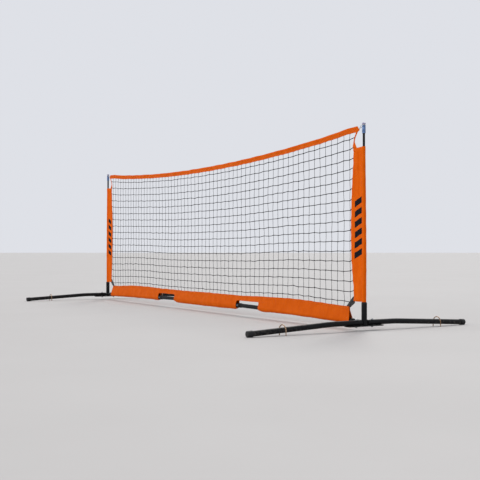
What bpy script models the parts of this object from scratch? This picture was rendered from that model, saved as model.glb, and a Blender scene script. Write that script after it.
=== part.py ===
"""Portable foot-volley net: two posts on folding cross feet, a three-piece rail and a net in fabric edges.

Metres, +Z up. X runs along the net, Y across it, and the origin is on the ground under the net's centre.
Sides are "right" at +X and "left" at -X; "front" is -Y and "rear" is +Y.
"""
import math

import bmesh
import bpy
from mathutils import Vector

# ---------------------------------------------------------------- driving dimensions
GAP = 0.0003                  # room left between pieces that touch
HALF_SPAN = 1.5               # post axis from the centre
SIDES = (("right", 1.0), ("left", -1.0))
ENDS = (("front", -1.0), ("rear", 1.0))
ROUND = 16                    # sides of a large round piece
ROUND_SMALL = 12              # sides of a fastener, cord or wire

# Foot bracket: a flat plate with one bent-up stop for each leg
PLATE_BOTTOM = 0.0193
PLATE_TOP = 0.0235
PLATE_HALF_WIDTH = 0.020
PLATE_HALF_LENGTH = 0.100
PLATE_CORNER = 0.008
STOP_INNER = 0.078            # distance from the post axis along Y
STOP_THICKNESS = 0.0038
STOP_TOP = 0.0415

# Legs: bent steel tube, turning on a vertical bolt
LEG_RADIUS = 0.012
LEG_WALL = 0.0015
LEG_AXIS_Z = 0.036            # at the bracket
LEG_INNER_END = 0.018
LEG_BEND = 0.180
LEG_OUTER_END = 0.612
LEG_END_AXIS_Z = 0.0130       # at the cap's outer face
PIVOT = 0.045
BOLT_RADIUS = 0.003
BOLT_HOLE_RADIUS = 0.0033
BOLT_HEAD_RADIUS = 0.0056     # across corners, halved
BOLT_HEAD_HEIGHT = 0.0050
NUT_HEIGHT = 0.0046
CAP_RADIUS = 0.0140
CAP_LENGTH = 0.026
CAP_FLOOR = 0.004             # thickness of the cap's closed end

# Ground pegs: hoops of wire over the legs, cut off at ground level
PEG_PLACE = 0.440
PEG_HALF_WIDTH = 0.0247
PEG_WIRE_RADIUS = 0.0023
PEG_CROWN_AXIS_Z = 0.0452

# Post: socket tube, reducing bush, rod, ferrule and cap
SOCKET_RADIUS = 0.0125
SOCKET_WALL = 0.0015
SOCKET_TOP = 0.1200
BUSH_BOTTOM = 0.062
BUSH_TOP = 0.1270
BUSH_BORE = 0.0059
ROD_RADIUS = 0.0055
ROD_BOTTOM = PLATE_TOP + GAP
ROD_TOP = 0.9150
FERRULE_RADIUS = 0.0080
FERRULE_BOTTOM = 0.8850
FERRULE_TOP = 0.9210
NECK_RADIUS = 0.0050
CAP_BOTTOM = 0.9246
STUD_RADIUS = 0.0035
STUD_TOP = 0.9290
POST_TOP = 0.9340
POST_CAP_RADIUS = 0.0082

# Bottom rail: three tubes that bow up a little between the posts
RAIL_RADIUS = 0.0110
RAIL_WALL = 0.0012
RAIL_END_Z = 0.037
RAIL_RISE = 0.0195
RAIL_END = 1.425
STUB_RADIUS = 0.0090
STUB_INNER_END = 1.355
JOINTS = (("right", 0.434), ("left", -0.566))   # right-hand end of each collar
RAIL_INSERT = 0.059           # how far a tube goes into the collar
COLLAR_LENGTH = 0.092
COLLAR_RADIUS = 0.0126
COLLAR_BORE = 0.0113
BUTTON_BACK = 0.023           # button from the collar's end
BUTTON_RADIUS = 0.0038
BUTTON_HOLE_RADIUS = 0.0043
BUTTON_FLANGE_RADIUS = 0.0052
BUTTON_TOP = 0.0152           # from the rail's axis
BUTTON_FLANGE = 0.0078
SPRING_HALF_WIDTH = 0.0025
SPRING_THICKNESS = 0.0006

# Bottom band: a fabric sleeve round the rail, with two windows
BAND_END = 1.410
BAND_BORE = 0.0130
BAND_CLOTH = 0.0010
BAND_TOP_Z = 0.1105
BAND_TOP_WAVES = (0.0019, -0.0047, 0.0031)
BAND_HANG = 0.0125            # how far the middle of the band hangs below the rail
BAND_HANG_REACH = 0.95
WINDOW_BEFORE = 0.035         # from the collar's end, over the collar
WINDOW_AFTER = 0.192
WINDOW_TOP_Z = 0.0825

# Top tape: a flat fabric tube round the headline cord
TAPE_END = 1.4535
TAPE_TIP = 1.4670
TAPE_END_AXIS_Z = 0.9095
TAPE_SAG = 0.0660
TAPE_HALF_HEIGHT = 0.0134
TAPE_HALF_THICKNESS = 0.0028
TAPE_CLOTH = 0.0009
TIP_HALF_HEIGHT = 0.0042
TIP_DROP = 0.0050
CORD_RADIUS = 0.0013
CORD_LIFT = 0.0060            # cord above the tape's middle line
CORD_END = 1.445

# Post sleeves: a pocket for the rod and a flat panel towards the net
SLEEVE_BOTTOM = 0.1275
SLEEVE_TOP = 0.8260
POCKET_BORE = 0.0065
POCKET_TOP_RADIUS = 0.0085
POCKET_BOTTOM_RADIUS = 0.0098
PANEL_HALF_THICKNESS = 0.0012
PANEL_EDGE = 0.073            # inner edge from the post axis, at both ends
PANEL_BOW = 0.0222            # extra at the bow's middle
PANEL_BOW_Z = 0.465
PANEL_BOW_REACH = 0.74

# Net: one thin panel, webbing borders and corner straps
NET_HALF_THICKNESS = 0.0010
NET_GAP = 0.0006
WEBBING_HALF_THICKNESS = 0.0009
BORDER_TOP_IN, BORDER_TOP_OUT = 0.0555, 0.0435     # distances from the post axis
BORDER_WAIST_IN, BORDER_WAIST_OUT = 0.0755, 0.0660
BORDER_WAIST_Z = 0.8550
BORDER_FOOT_IN, BORDER_FOOT_OUT = 0.0785, 0.0530
STRAP_TOP_Z, STRAP_LOW_Z = 0.1470, 0.1180
STRAP_NEAR = 0.0752
STRAP_FOOT_NEAR, STRAP_FOOT_FAR = 0.1020, 0.1320
LOOP_RADIUS = 0.0013
LOOP_AXIS_Z = 0.92275
LOOP_END = 0.0312
LOOP_END_Z = 0.9110


# ---------------------------------------------------------------- curves that several pieces follow
def rail_z(x):
    """Height of the rail's axis, a shallow arch from post to post."""
    return RAIL_END_Z + RAIL_RISE * math.cos(math.pi * x / (2 * HALF_SPAN))


def band_top_z(x):
    """Height of the band's top edge, which the net pulls up between the windows and the posts."""
    turn = math.pi * x / HALF_SPAN
    return BAND_TOP_Z + sum(rise * math.cos((k + 1) * turn) for k, rise in enumerate(BAND_TOP_WAVES))


def band_hang(x):
    """How far the band's lower fold hangs clear of the rail."""
    return BAND_HANG * max(0.0, 1 - (x / BAND_HANG_REACH) ** 2) ** 1.5


def tape_z(x):
    """Height of the tape's middle line, a shallow hanging curve."""
    return TAPE_END_AXIS_Z - TAPE_SAG * max(0.0, 1 - (x / TAPE_END) ** 2)


def panel_edge(z):
    """Distance of the sleeve panel's inner edge from the post axis, bowed towards the net."""
    return PANEL_EDGE + PANEL_BOW * math.cos(math.pi * (z - PANEL_BOW_Z) / PANEL_BOW_REACH) ** 2


def leg_z(y):
    """Height of a leg's axis at distance y from the post axis."""
    if y <= LEG_BEND:
        return LEG_AXIS_Z
    along = (y - LEG_BEND) / (LEG_OUTER_END + CAP_FLOOR - LEG_BEND)
    return LEG_AXIS_Z + (LEG_END_AXIS_Z - LEG_AXIS_Z) * along


def spread(start, end, count):
    """Evenly spaced values, both ends included."""
    return [start + (end - start) * i / (count - 1) for i in range(count)]


# ---------------------------------------------------------------- modelling helpers
for old in list(bpy.data.objects):
    bpy.data.objects.remove(old, do_unlink=True)
parts = bpy.data.collections.new("foot_volley_net")
cutters = bpy.data.collections.new("cutters")
for group in (parts, cutters):
    bpy.context.scene.collection.children.link(group)


def material(name, colour, roughness, metallic=0.0):
    made = bpy.data.materials.new(name)
    made.use_nodes = True
    shader = made.node_tree.nodes["Principled BSDF"]
    shader.inputs["Base Color"].default_value = (*colour, 1.0)
    shader.inputs["Roughness"].default_value = roughness
    shader.inputs["Metallic"].default_value = metallic
    return made


POWDER_COAT = ((0.012, 0.013, 0.016), 0.45, 0.0)
BLACK_PLASTIC = ((0.010, 0.010, 0.011), 0.55, 0.0)
FIBREGLASS = ((0.008, 0.008, 0.010), 0.30, 0.0)
FERRULE_METAL = ((0.30, 0.38, 0.50), 0.32, 1.0)
CAP_PLASTIC = ((0.24, 0.22, 0.33), 0.45, 0.0)
ZINC = ((0.45, 0.46, 0.48), 0.35, 1.0)
PEG_STEEL = ((0.36, 0.27, 0.20), 0.40, 1.0)
BUTTON_METAL = ((0.30, 0.42, 0.55), 0.30, 1.0)
ORANGE_CLOTH = ((0.72, 0.118, 0.004), 0.75, 0.0)
BLACK_WEBBING = ((0.011, 0.011, 0.012), 0.80, 0.0)
NET_TWINE = ((0.035, 0.034, 0.038), 0.80, 0.0)
PALE_CORD = ((0.60, 0.60, 0.60), 0.70, 0.0)


def new_object(name, data, finish=None, parent=None, group=None):
    obj = bpy.data.objects.new(name, data)
    (group or parts).objects.link(obj)
    if parent is not None:
        obj.parent = parent
    if finish is not None:
        data.materials.append(material(name, *finish))
    return obj


def empty(name, location, parent=None):
    """A joint's frame: the moving pieces hang from it."""
    obj = bpy.data.objects.new(name, None)
    parts.objects.link(obj)
    obj.parent = parent
    obj.location = location
    return obj


def make_cutter(obj):
    parts.objects.unlink(obj)
    cutters.objects.link(obj)
    obj.hide_render = True
    obj.display_type = "WIRE"
    return obj


def boolean(obj, other, operation="DIFFERENCE"):
    step = obj.modifiers.new(operation.title(), "BOOLEAN")
    step.operation = operation
    step.solver = "EXACT"
    step.object = make_cutter(other) if other.name not in cutters.objects else other
    return obj


def smooth(mesh, angle=35):
    mesh.shade_smooth()
    mesh.set_sharp_from_angle(angle=math.radians(angle))


def cylinder(name, radius, low, high, finish=None, parent=None, sides=ROUND, top_radius=None):
    """A vertical cylinder or cone from height low to height high, on the local Z axis."""
    shape = bmesh.new()
    bmesh.ops.create_cone(shape, cap_ends=True, segments=sides, radius1=radius,
                          radius2=radius if top_radius is None else top_radius, depth=high - low)
    bmesh.ops.translate(shape, verts=shape.verts, vec=(0, 0, (low + high) / 2))
    mesh = bpy.data.meshes.new(name)
    shape.to_mesh(mesh)
    shape.free()
    smooth(mesh)
    return new_object(name, mesh, finish, parent)


def box(name, low, high, finish=None, parent=None):
    shape = bmesh.new()
    bmesh.ops.create_cube(shape, size=1.0)
    low, high = Vector(low), Vector(high)
    bmesh.ops.scale(shape, verts=shape.verts, vec=high - low)
    bmesh.ops.translate(shape, verts=shape.verts, vec=(low + high) / 2)
    mesh = bpy.data.meshes.new(name)
    shape.to_mesh(mesh)
    shape.free()
    return new_object(name, mesh, finish, parent)


def turned(name, profile, finish, parent=None, sides=ROUND):
    """A turned piece from (radius, height) points that run down its outer side, top to bottom."""
    mesh = bpy.data.meshes.new(name)
    closed = profile[0][0] > 0
    edges = [(i, i + 1) for i in range(len(profile) - 1)]
    if closed:
        edges.append((len(profile) - 1, 0))
    mesh.from_pydata([(r, 0.0, z) for r, z in profile], edges, [])
    obj = new_object(name, mesh, finish, parent)
    screw = obj.modifiers.new("Screw", "SCREW")
    screw.axis = "Z"
    screw.steps = sides
    screw.render_steps = sides
    screw.use_merge_vertices = True
    screw.merge_threshold = 0.00005
    screw.use_smooth_shade = True
    return obj


def arc(centre, radius, start, end, count):
    """Points of an arc in (radius, height) or (x, y), angles in degrees."""
    angles = [math.radians(a) for a in spread(start, end, count)]
    return [(centre[0] + radius * math.cos(a), centre[1] + radius * math.sin(a)) for a in angles]


def curve_object(name, points, radius, sides, caps, cyclic=False):
    data = bpy.data.curves.new(name, "CURVE")
    data.dimensions = "3D"
    data.bevel_depth = radius
    data.bevel_resolution = sides // 2 - 2
    data.use_fill_caps = caps
    spline = data.splines.new("POLY")
    spline.points.add(len(points) - 1)
    for point, place in zip(spline.points, points):
        point.co = (*place, 1.0)
    spline.use_cyclic_u = cyclic
    return new_object(name, data)


def curve_to_mesh(curve_obj, finish, parent):
    """The curve's own solid as a mesh object of the same name, with its caps welded."""
    name = curve_obj.name
    bpy.context.view_layer.update()
    evaluated = curve_obj.evaluated_get(bpy.context.evaluated_depsgraph_get())
    mesh = bpy.data.meshes.new_from_object(evaluated)
    shape = bmesh.new()
    shape.from_mesh(mesh)
    bmesh.ops.remove_doubles(shape, verts=shape.verts, dist=0.00002)
    shape.to_mesh(mesh)
    shape.free()
    bpy.data.objects.remove(curve_obj, do_unlink=True)
    mesh.materials.clear()
    smooth(mesh)
    return new_object(name, mesh, finish, parent)


def wire(name, points, radius, finish, parent=None, sides=8, cyclic=False):
    """A solid wire, rod or cord along a list of points."""
    return curve_to_mesh(curve_object(name, points, radius, sides, True, cyclic), finish, parent)


def tube(name, points, radius, wall, finish, parent=None, sides=ROUND):
    """An open-ended hollow tube along a list of points."""
    obj = curve_to_mesh(curve_object(name, points, radius, sides, False), finish, parent)
    shell = obj.modifiers.new("Wall", "SOLIDIFY")
    shell.thickness = wall
    shell.offset = -1.0
    shell.use_even_offset = True
    return obj


def plate(name, outline, half_thickness, finish=None, parent=None, upright=True):
    """A flat plate from its outline: (x, z) points when upright, or (x, y) when lying flat."""
    data = bpy.data.curves.new(name, "CURVE")
    data.dimensions = "2D"
    data.fill_mode = "BOTH"
    data.extrude = half_thickness
    spline = data.splines.new("POLY")
    spline.points.add(len(outline) - 1)
    for point, (u, v) in zip(spline.points, outline):
        point.co = (u, v, 0.0, 1.0)
    spline.use_cyclic_u = True
    obj = curve_to_mesh(new_object(name, data), finish, parent)
    if upright:
        obj.rotation_euler.x = math.radians(90)
    return obj


def fabric_tube(name, stations, section, cloth, finish, parent=None):
    """A hollow fabric sleeve lofted along X: section(x, inset) gives its (y, z) ring at a station."""
    shape = bmesh.new()
    skins = []
    for inset in (0.0, cloth):
        skins.append([[shape.verts.new((x, y, z)) for y, z in section(x, inset)] for x in stations])
    outer, inner = skins
    count = len(outer[0])
    for rings, flipped in ((outer, False), (inner, True)):
        for ring, following in zip(rings, rings[1:]):
            for i in range(count):
                j = (i + 1) % count
                face = [ring[i], following[i], following[j], ring[j]]
                shape.faces.new(face[::-1] if flipped else face)
    for end in (0, -1):
        for i in range(count):
            j = (i + 1) % count
            shape.faces.new([outer[end][i], outer[end][j], inner[end][j], inner[end][i]])
    bmesh.ops.recalc_face_normals(shape, faces=shape.faces)
    mesh = bpy.data.meshes.new(name)
    shape.to_mesh(mesh)
    shape.free()
    smooth(mesh, 50)
    return new_object(name, mesh, finish, parent)


# ---------------------------------------------------------------- the two feet
def foot_bracket(side, sign, post):
    """Plate under the legs, with a stop on its net side for each leg."""
    reach_x, reach_y = PLATE_HALF_WIDTH - PLATE_CORNER, PLATE_HALF_LENGTH - PLATE_CORNER
    corners = ((1, 1, 0), (-1, 1, 90), (-1, -1, 180), (1, -1, 270))
    outline = []
    for cx, cy, start in corners:
        outline += arc((cx * reach_x, cy * reach_y), PLATE_CORNER, start, start + 90, 5)
    thickness = PLATE_TOP - PLATE_BOTTOM
    obj = plate(f"foot_bracket_{side}", outline, thickness / 2, POWDER_COAT, post, upright=False)
    obj.location.z = (PLATE_TOP + PLATE_BOTTOM) / 2
    near = LEG_RADIUS + 2 * GAP
    across = sorted((-sign * near, -sign * (near + STOP_THICKNESS)))
    for end, way in ENDS:
        along = sorted((way * STOP_INNER, way * (PLATE_HALF_LENGTH - PLATE_CORNER)))
        stop = box(f"stop_{side}_{end}", (across[0], along[0], PLATE_TOP - 0.002),
                   (across[1], along[1], STOP_TOP), parent=post)
        boolean(obj, stop, "UNION")
        hole = cylinder(f"plate_hole_{side}_{end}", BOLT_HOLE_RADIUS, 0.0, STOP_TOP, parent=post,
                        sides=ROUND_SMALL)
        hole.location.y = way * PIVOT
        boolean(obj, hole)
    return obj


def leg(side, end, way, post):
    """One leg with its cap, hung from the pivot's empty."""
    pivot = empty(f"leg_pivot_{side}_{end}", (0, way * PIVOT, 0), post)
    stations = [LEG_INNER_END, LEG_BEND - 0.02, LEG_BEND - 0.007, LEG_BEND + 0.007, LEG_BEND + 0.02,
                LEG_OUTER_END]
    path = [(0, way * (y - PIVOT), leg_z(y)) for y in stations]
    legs = tube(f"leg_{side}_{end}", path, LEG_RADIUS, LEG_WALL, POWDER_COAT, pivot)
    hole = cylinder(f"leg_hole_{side}_{end}", BOLT_HOLE_RADIUS, 0.0, 0.08, parent=pivot,
                    sides=ROUND_SMALL)
    boolean(legs, hole)

    inside = LEG_RADIUS + GAP
    floor = CAP_LENGTH - CAP_FLOOR
    dome = arc((CAP_RADIUS - 0.003, CAP_LENGTH - 0.003), 0.003, 90, 0, 4)
    profile = [(0, CAP_LENGTH)] + dome + [(CAP_RADIUS, 0.001), (CAP_RADIUS - 0.001, 0),
                                          (inside, 0), (inside, floor), (0, floor)]
    cap = turned(f"leg_cap_{side}_{end}", profile, BLACK_PLASTIC, pivot)
    slope = math.atan2(leg_z(LEG_BEND) - leg_z(LEG_OUTER_END), LEG_OUTER_END - LEG_BEND)
    start = LEG_OUTER_END + CAP_FLOOR - CAP_LENGTH + 2 * GAP
    cap.location = (0, way * (start - PIVOT), leg_z(start))
    cap.rotation_euler.x = -way * (math.radians(90) + slope)
    ground = box(f"ground_{side}_{end}", (-0.05, -0.05, -0.05), (0.05, 0.05, 0.0), parent=pivot)
    ground.location.y = way * (LEG_OUTER_END - PIVOT)
    boolean(cap, ground)
    return pivot


def ground_peg(side, end, way, pivot):
    """A hoop of wire over the leg: two straight legs and a half-round crown."""
    springing = PEG_CROWN_AXIS_Z - PEG_HALF_WIDTH
    hoop = [(x, 0, z) for x, z in arc((0, springing), PEG_HALF_WIDTH, 0, 180, 11)]
    path = [(PEG_HALF_WIDTH, 0, 0)] + hoop + [(-PEG_HALF_WIDTH, 0, 0)]
    peg = wire(f"ground_peg_{side}_{end}", path, PEG_WIRE_RADIUS, PEG_STEEL, pivot)
    peg.location.y = way * (PEG_PLACE - PIVOT)
    return peg


def pivot_bolt(side, end, way, post):
    """Hexagon bolt down through the leg and the plate, with its nut underneath."""
    head_low = LEG_AXIS_Z + LEG_RADIUS + 2 * GAP
    bolt = cylinder(f"pivot_bolt_{side}_{end}", BOLT_RADIUS, PLATE_BOTTOM - NUT_HEIGHT - 0.001,
                    head_low + 0.001, ZINC, post, ROUND_SMALL)
    head = cylinder(f"bolt_head_{side}_{end}", BOLT_HEAD_RADIUS, head_low, head_low + BOLT_HEAD_HEIGHT,
                    parent=post, sides=6)
    nut = cylinder(f"pivot_nut_{side}_{end}", BOLT_HEAD_RADIUS, PLATE_BOTTOM - GAP - NUT_HEIGHT,
                   PLATE_BOTTOM - GAP, ZINC, post, 6)
    hole = cylinder(f"nut_hole_{side}_{end}", BOLT_HOLE_RADIUS, 0.0, PLATE_TOP, parent=post,
                    sides=ROUND_SMALL)
    for obj in (bolt, head, nut, hole):
        obj.location.y = way * PIVOT
    boolean(bolt, head, "UNION")
    boolean(nut, hole)


# ---------------------------------------------------------------- the two posts
def socket(side, sign, post):
    """Upright tube welded on the bracket, its reducing bush, and the stub that holds the rail's end."""
    low = PLATE_TOP + GAP
    inner = SOCKET_RADIUS - SOCKET_WALL
    turned(f"upright_socket_{side}", [(SOCKET_RADIUS, SOCKET_TOP), (SOCKET_RADIUS, low), (inner, low),
                                      (inner, SOCKET_TOP)], POWDER_COAT, post)
    lip = arc((SOCKET_RADIUS + 0.0002 - 0.003, BUSH_TOP - 0.003), 0.003, 90, 0, 4)
    stem = inner - GAP
    turned(f"socket_bush_{side}",
           [(BUSH_BORE + 0.001, BUSH_TOP)] + lip +
           [(SOCKET_RADIUS + 0.0002, SOCKET_TOP + GAP), (stem, SOCKET_TOP + GAP), (stem, BUSH_BOTTOM),
            (BUSH_BORE, BUSH_BOTTOM), (BUSH_BORE, BUSH_TOP - 0.001)], BLACK_PLASTIC, post)
    inward, root = -sign * (HALF_SPAN - STUB_INNER_END), 0.004
    slope = (rail_z(RAIL_END) - rail_z(STUB_INNER_END)) / (RAIL_END - STUB_INNER_END)
    root_z = rail_z(RAIL_END) + slope * (HALF_SPAN - root - RAIL_END)
    stub = tube(f"rail_stub_{side}", [(-sign * root, 0, root_z), (inward, 0, rail_z(STUB_INNER_END))],
                STUB_RADIUS, RAIL_WALL, POWDER_COAT, post)
    saddle = cylinder(f"saddle_{side}", SOCKET_RADIUS + GAP, 0.0, SOCKET_TOP, parent=post)
    boolean(stub, saddle)


def pole(side, post):
    """Rod with its ferrule and cap, which lift out of the socket together."""
    lifted = empty(f"pole_lift_{side}", (0, 0, 0), post)
    cylinder(f"pole_rod_{side}", ROD_RADIUS, ROD_BOTTOM, ROD_TOP, FIBREGLASS, lifted, 16)
    bore = ROD_RADIUS + GAP
    turned(f"pole_ferrule_{side}",
           [(0, STUD_TOP), (STUD_RADIUS, STUD_TOP), (STUD_RADIUS, CAP_BOTTOM - GAP),
            (NECK_RADIUS, CAP_BOTTOM - GAP), (NECK_RADIUS, FERRULE_TOP), (FERRULE_RADIUS - 0.0006, FERRULE_TOP),
            (FERRULE_RADIUS, FERRULE_TOP - 0.0006), (FERRULE_RADIUS, FERRULE_BOTTOM),
            (bore, FERRULE_BOTTOM), (bore, ROD_TOP + GAP), (0, ROD_TOP + GAP)],
           FERRULE_METAL, lifted)
    dome = arc((0, POST_TOP - 0.0105), 0.0105, 90, 50, 5)[1:]
    socket_radius = STUD_RADIUS + GAP
    turned(f"pole_cap_{side}",
           [(0, POST_TOP)] + dome +
           [(POST_CAP_RADIUS, POST_TOP - 0.0045), (POST_CAP_RADIUS, CAP_BOTTOM + 0.001),
            (POST_CAP_RADIUS - 0.001, CAP_BOTTOM), (socket_radius, CAP_BOTTOM),
            (socket_radius, STUD_TOP + GAP), (0, STUD_TOP + GAP)], CAP_PLASTIC, lifted)
    return lifted


def top_loop(side, sign, lifted):
    """Cord loop from the groove under the pole's cap to the tape's pointed end."""
    around = NECK_RADIUS + LOOP_RADIUS + 2 * GAP
    level = POST_CAP_RADIUS + LOOP_RADIUS + 0.002
    small = LOOP_RADIUS + GAP
    outer = [(x, y, LOOP_AXIS_Z) for x, y in arc((0, 0), around, -90, 90, 7)]
    end_x = -(LOOP_END - small)
    tip = [(x, y, LOOP_END_Z) for x, y in arc((end_x, 0), small, 110, 250, 5)]

    def run(way):
        """The straight strand on one side, level past the cap and then down to the tape."""
        inward = [(-level, way * around, LOOP_AXIS_Z)]
        for t in (0.35, 0.7):
            inward.append((-level + (end_x + level) * t, way * (around + (small - around) * t),
                           LOOP_AXIS_Z + (LOOP_END_Z - LOOP_AXIS_Z) * t))
        return inward

    path = outer + run(1) + tip + run(-1)[::-1]
    return wire(f"top_loop_{side}", [(sign * x, y, z) for x, y, z in path], LOOP_RADIUS, PALE_CORD,
                lifted, cyclic=True)


# ---------------------------------------------------------------- the rail
def rail_path(start, end, count):
    return [(x, 0, rail_z(x)) for x in spread(start, end, count)]


def rail():
    """Three tubes; each collar is fixed on one tube's end and holds the next with a sprung button."""
    inserted = {side: x - RAIL_INSERT for side, x in JOINTS}
    right = tube("rail_tube_right", rail_path(inserted["right"], RAIL_END, 6), RAIL_RADIUS, RAIL_WALL,
                 POWDER_COAT)
    stop = 0.0025
    centre = tube("rail_tube_centre", rail_path(inserted["left"], inserted["right"] - stop, 6), RAIL_RADIUS,
                  RAIL_WALL, POWDER_COAT)
    tube("rail_tube_left", rail_path(-RAIL_END, inserted["left"] - stop, 5), RAIL_RADIUS, RAIL_WALL,
         POWDER_COAT)
    for (side, end_x), held in zip(JOINTS, (right, centre)):
        wall = COLLAR_RADIUS - COLLAR_BORE
        collar = tube(f"rail_collar_{side}", rail_path(end_x - COLLAR_LENGTH, end_x, 3), COLLAR_RADIUS, wall,
                      POWDER_COAT)
        place = (end_x - BUTTON_BACK, 0, rail_z(end_x - BUTTON_BACK))
        pressed = empty(f"button_press_{side}", place)
        hole = cylinder(f"button_hole_{side}", BUTTON_HOLE_RADIUS, 0.0, 0.03, parent=pressed)
        hole.rotation_euler.x = math.radians(90)
        boolean(collar, hole)
        boolean(held, hole)
        snap_button(side, pressed)
        snap_spring(side, place)


def snap_button(side, pressed):
    """Round button through both tubes' walls, facing the front, with a flange inside."""
    dome = arc((0, BUTTON_TOP - 0.0062), 0.0062, 90, 52, 4)[1:]
    button = turned(f"snap_button_{side}",
                    [(0, BUTTON_TOP)] + dome +
                    [(BUTTON_RADIUS, BUTTON_FLANGE), (BUTTON_FLANGE_RADIUS, BUTTON_FLANGE),
                     (BUTTON_FLANGE_RADIUS, BUTTON_FLANGE - 0.001), (0, BUTTON_FLANGE - 0.001)],
                    BUTTON_METAL, pressed, 16)
    button.rotation_euler.x = math.radians(90)


def snap_spring(side, place):
    """V-shaped leaf spring inside the tube, behind the button, extruded from its edge-on outline."""
    inner = RAIL_RADIUS - RAIL_WALL
    front = -(BUTTON_FLANGE - 0.001) + SPRING_THICKNESS / 2 + GAP
    back = math.sqrt(inner ** 2 - SPRING_HALF_WIDTH ** 2) - SPRING_THICKNESS / 2 - GAP
    bend_x, bend = -0.022, 0.0022
    middle = [(0.005, front), (-0.004, front)]
    middle += arc((bend_x, 0.001), bend, 250, 110, 7)
    middle += [(-0.008, back), (0.006, back)]
    return strip(f"snap_spring_{side}", middle, place)


def strip(name, middle, place):
    """A leaf that follows a middle line in the XY plane."""
    data = bpy.data.curves.new(name, "CURVE")
    data.dimensions = "3D"
    data.extrude = SPRING_HALF_WIDTH
    spline = data.splines.new("POLY")
    spline.points.add(len(middle) - 1)
    for point, (x, y) in zip(spline.points, middle):
        point.co = (x, y, 0.0, 1.0)
    obj = curve_to_mesh(new_object(name, data), ZINC, None)
    leaf = obj.modifiers.new("Leaf", "SOLIDIFY")
    leaf.thickness = SPRING_THICKNESS
    leaf.offset = 0.0
    obj.location = place
    return obj


# ---------------------------------------------------------------- fabric and net
def bottom_band():
    """Teardrop sleeve round the rail, its two layers meeting along the net's lower edge."""

    def section(x, inset):
        axis, top = rail_z(x), band_top_z(x)
        radius = BAND_BORE + BAND_CLOTH - inset
        hang = band_hang(x) / radius
        lower = [(y, axis + z * (1 + hang if z < 0 else 1)) for y, z in arc((0, 0), radius, 150, 390, 9)]
        neck = axis + radius + 0.026
        crest = 0.0018 - inset * 0.9
        upper = [(0.0062 - inset, neck), (crest, top - inset * 3), (-crest, top - inset * 3),
                 (-0.0062 + inset, neck)]
        return lower + upper

    obj = fabric_tube("bottom_band", spread(-BAND_END, BAND_END, 33), section, BAND_CLOTH, ORANGE_CLOTH)
    for side, joint in JOINTS:
        window = box(f"window_{side}", (joint - WINDOW_BEFORE, -0.05, -0.01),
                     (joint + WINDOW_AFTER, 0.05, WINDOW_TOP_Z))
        boolean(obj, window)
    return obj


def top_tape():
    """Flat tube of fabric with pointed ends, round the headline cord."""

    def section(x, inset):
        beyond = max(0.0, abs(x) - TAPE_END) / (TAPE_TIP - TAPE_END)
        half = TAPE_HALF_HEIGHT + (TIP_HALF_HEIGHT - TAPE_HALF_HEIGHT) * beyond - inset
        middle = tape_z(x) - TIP_DROP * beyond
        thick = TAPE_HALF_THICKNESS - inset
        shoulder = half - 0.55 * thick
        ring = [(thick, middle - shoulder), (thick, middle + shoulder), (thick * 0.5, middle + half),
                (-thick * 0.5, middle + half), (-thick, middle + shoulder), (-thick, middle - shoulder),
                (-thick * 0.5, middle - half), (thick * 0.5, middle - half)]
        return ring

    stations = [-TAPE_TIP] + spread(-TAPE_END, TAPE_END, 21) + [TAPE_TIP]
    fabric_tube("top_tape", stations, section, TAPE_CLOTH, ORANGE_CLOTH)
    cord = [(x, 0, tape_z(x) + CORD_LIFT) for x in spread(-CORD_END, CORD_END, 25)]
    wire("headline_cord", cord, CORD_RADIUS, PALE_CORD)


def post_sleeve(side, sign, post):
    """Pocket round the rod with a flat panel, whose inner edge bows towards the net."""
    heights = spread(SLEEVE_TOP, SLEEVE_BOTTOM, 15)
    outline = [(-sign * panel_edge(z), z) for z in heights]
    outline += [(0.0, SLEEVE_BOTTOM), (0.0, SLEEVE_TOP)]
    sleeve = plate(f"post_sleeve_{side}", outline, PANEL_HALF_THICKNESS, ORANGE_CLOTH, post)
    pocket = cylinder(f"pocket_{side}", POCKET_BOTTOM_RADIUS, SLEEVE_BOTTOM, SLEEVE_TOP, parent=post,
                      top_radius=POCKET_TOP_RADIUS)
    bore = cylinder(f"pocket_bore_{side}", POCKET_BORE, 0.0, POST_TOP, parent=post)
    boolean(sleeve, pocket, "UNION")
    boolean(sleeve, bore)
    return sleeve


def webbing(side, sign, post):
    """Narrow border from the tape's end to the sleeve, and the black strap at the lower corner."""
    tape_low = TAPE_END_AXIS_Z - TAPE_HALF_HEIGHT - NET_GAP
    border = [(BORDER_TOP_OUT + 0.006, tape_low), (BORDER_TOP_IN, tape_low - 0.001),
              (BORDER_WAIST_IN, BORDER_WAIST_Z), (BORDER_FOOT_IN, SLEEVE_TOP + NET_GAP),
              (BORDER_FOOT_OUT, SLEEVE_TOP + NET_GAP), (BORDER_WAIST_OUT, BORDER_WAIST_Z)]
    plate(f"side_border_{side}", [(-sign * u, v) for u, v in border], WEBBING_HALF_THICKNESS,
          ORANGE_CLOTH, post)
    low = band_top_z(HALF_SPAN - STRAP_FOOT_FAR) + NET_GAP
    strap = [(STRAP_NEAR, STRAP_TOP_Z), (STRAP_NEAR, STRAP_LOW_Z), (STRAP_FOOT_NEAR, low),
             (STRAP_FOOT_FAR, low)]
    plate(f"corner_strap_{side}", [(-sign * u, v) for u, v in strap], WEBBING_HALF_THICKNESS,
          BLACK_WEBBING, post)


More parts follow.
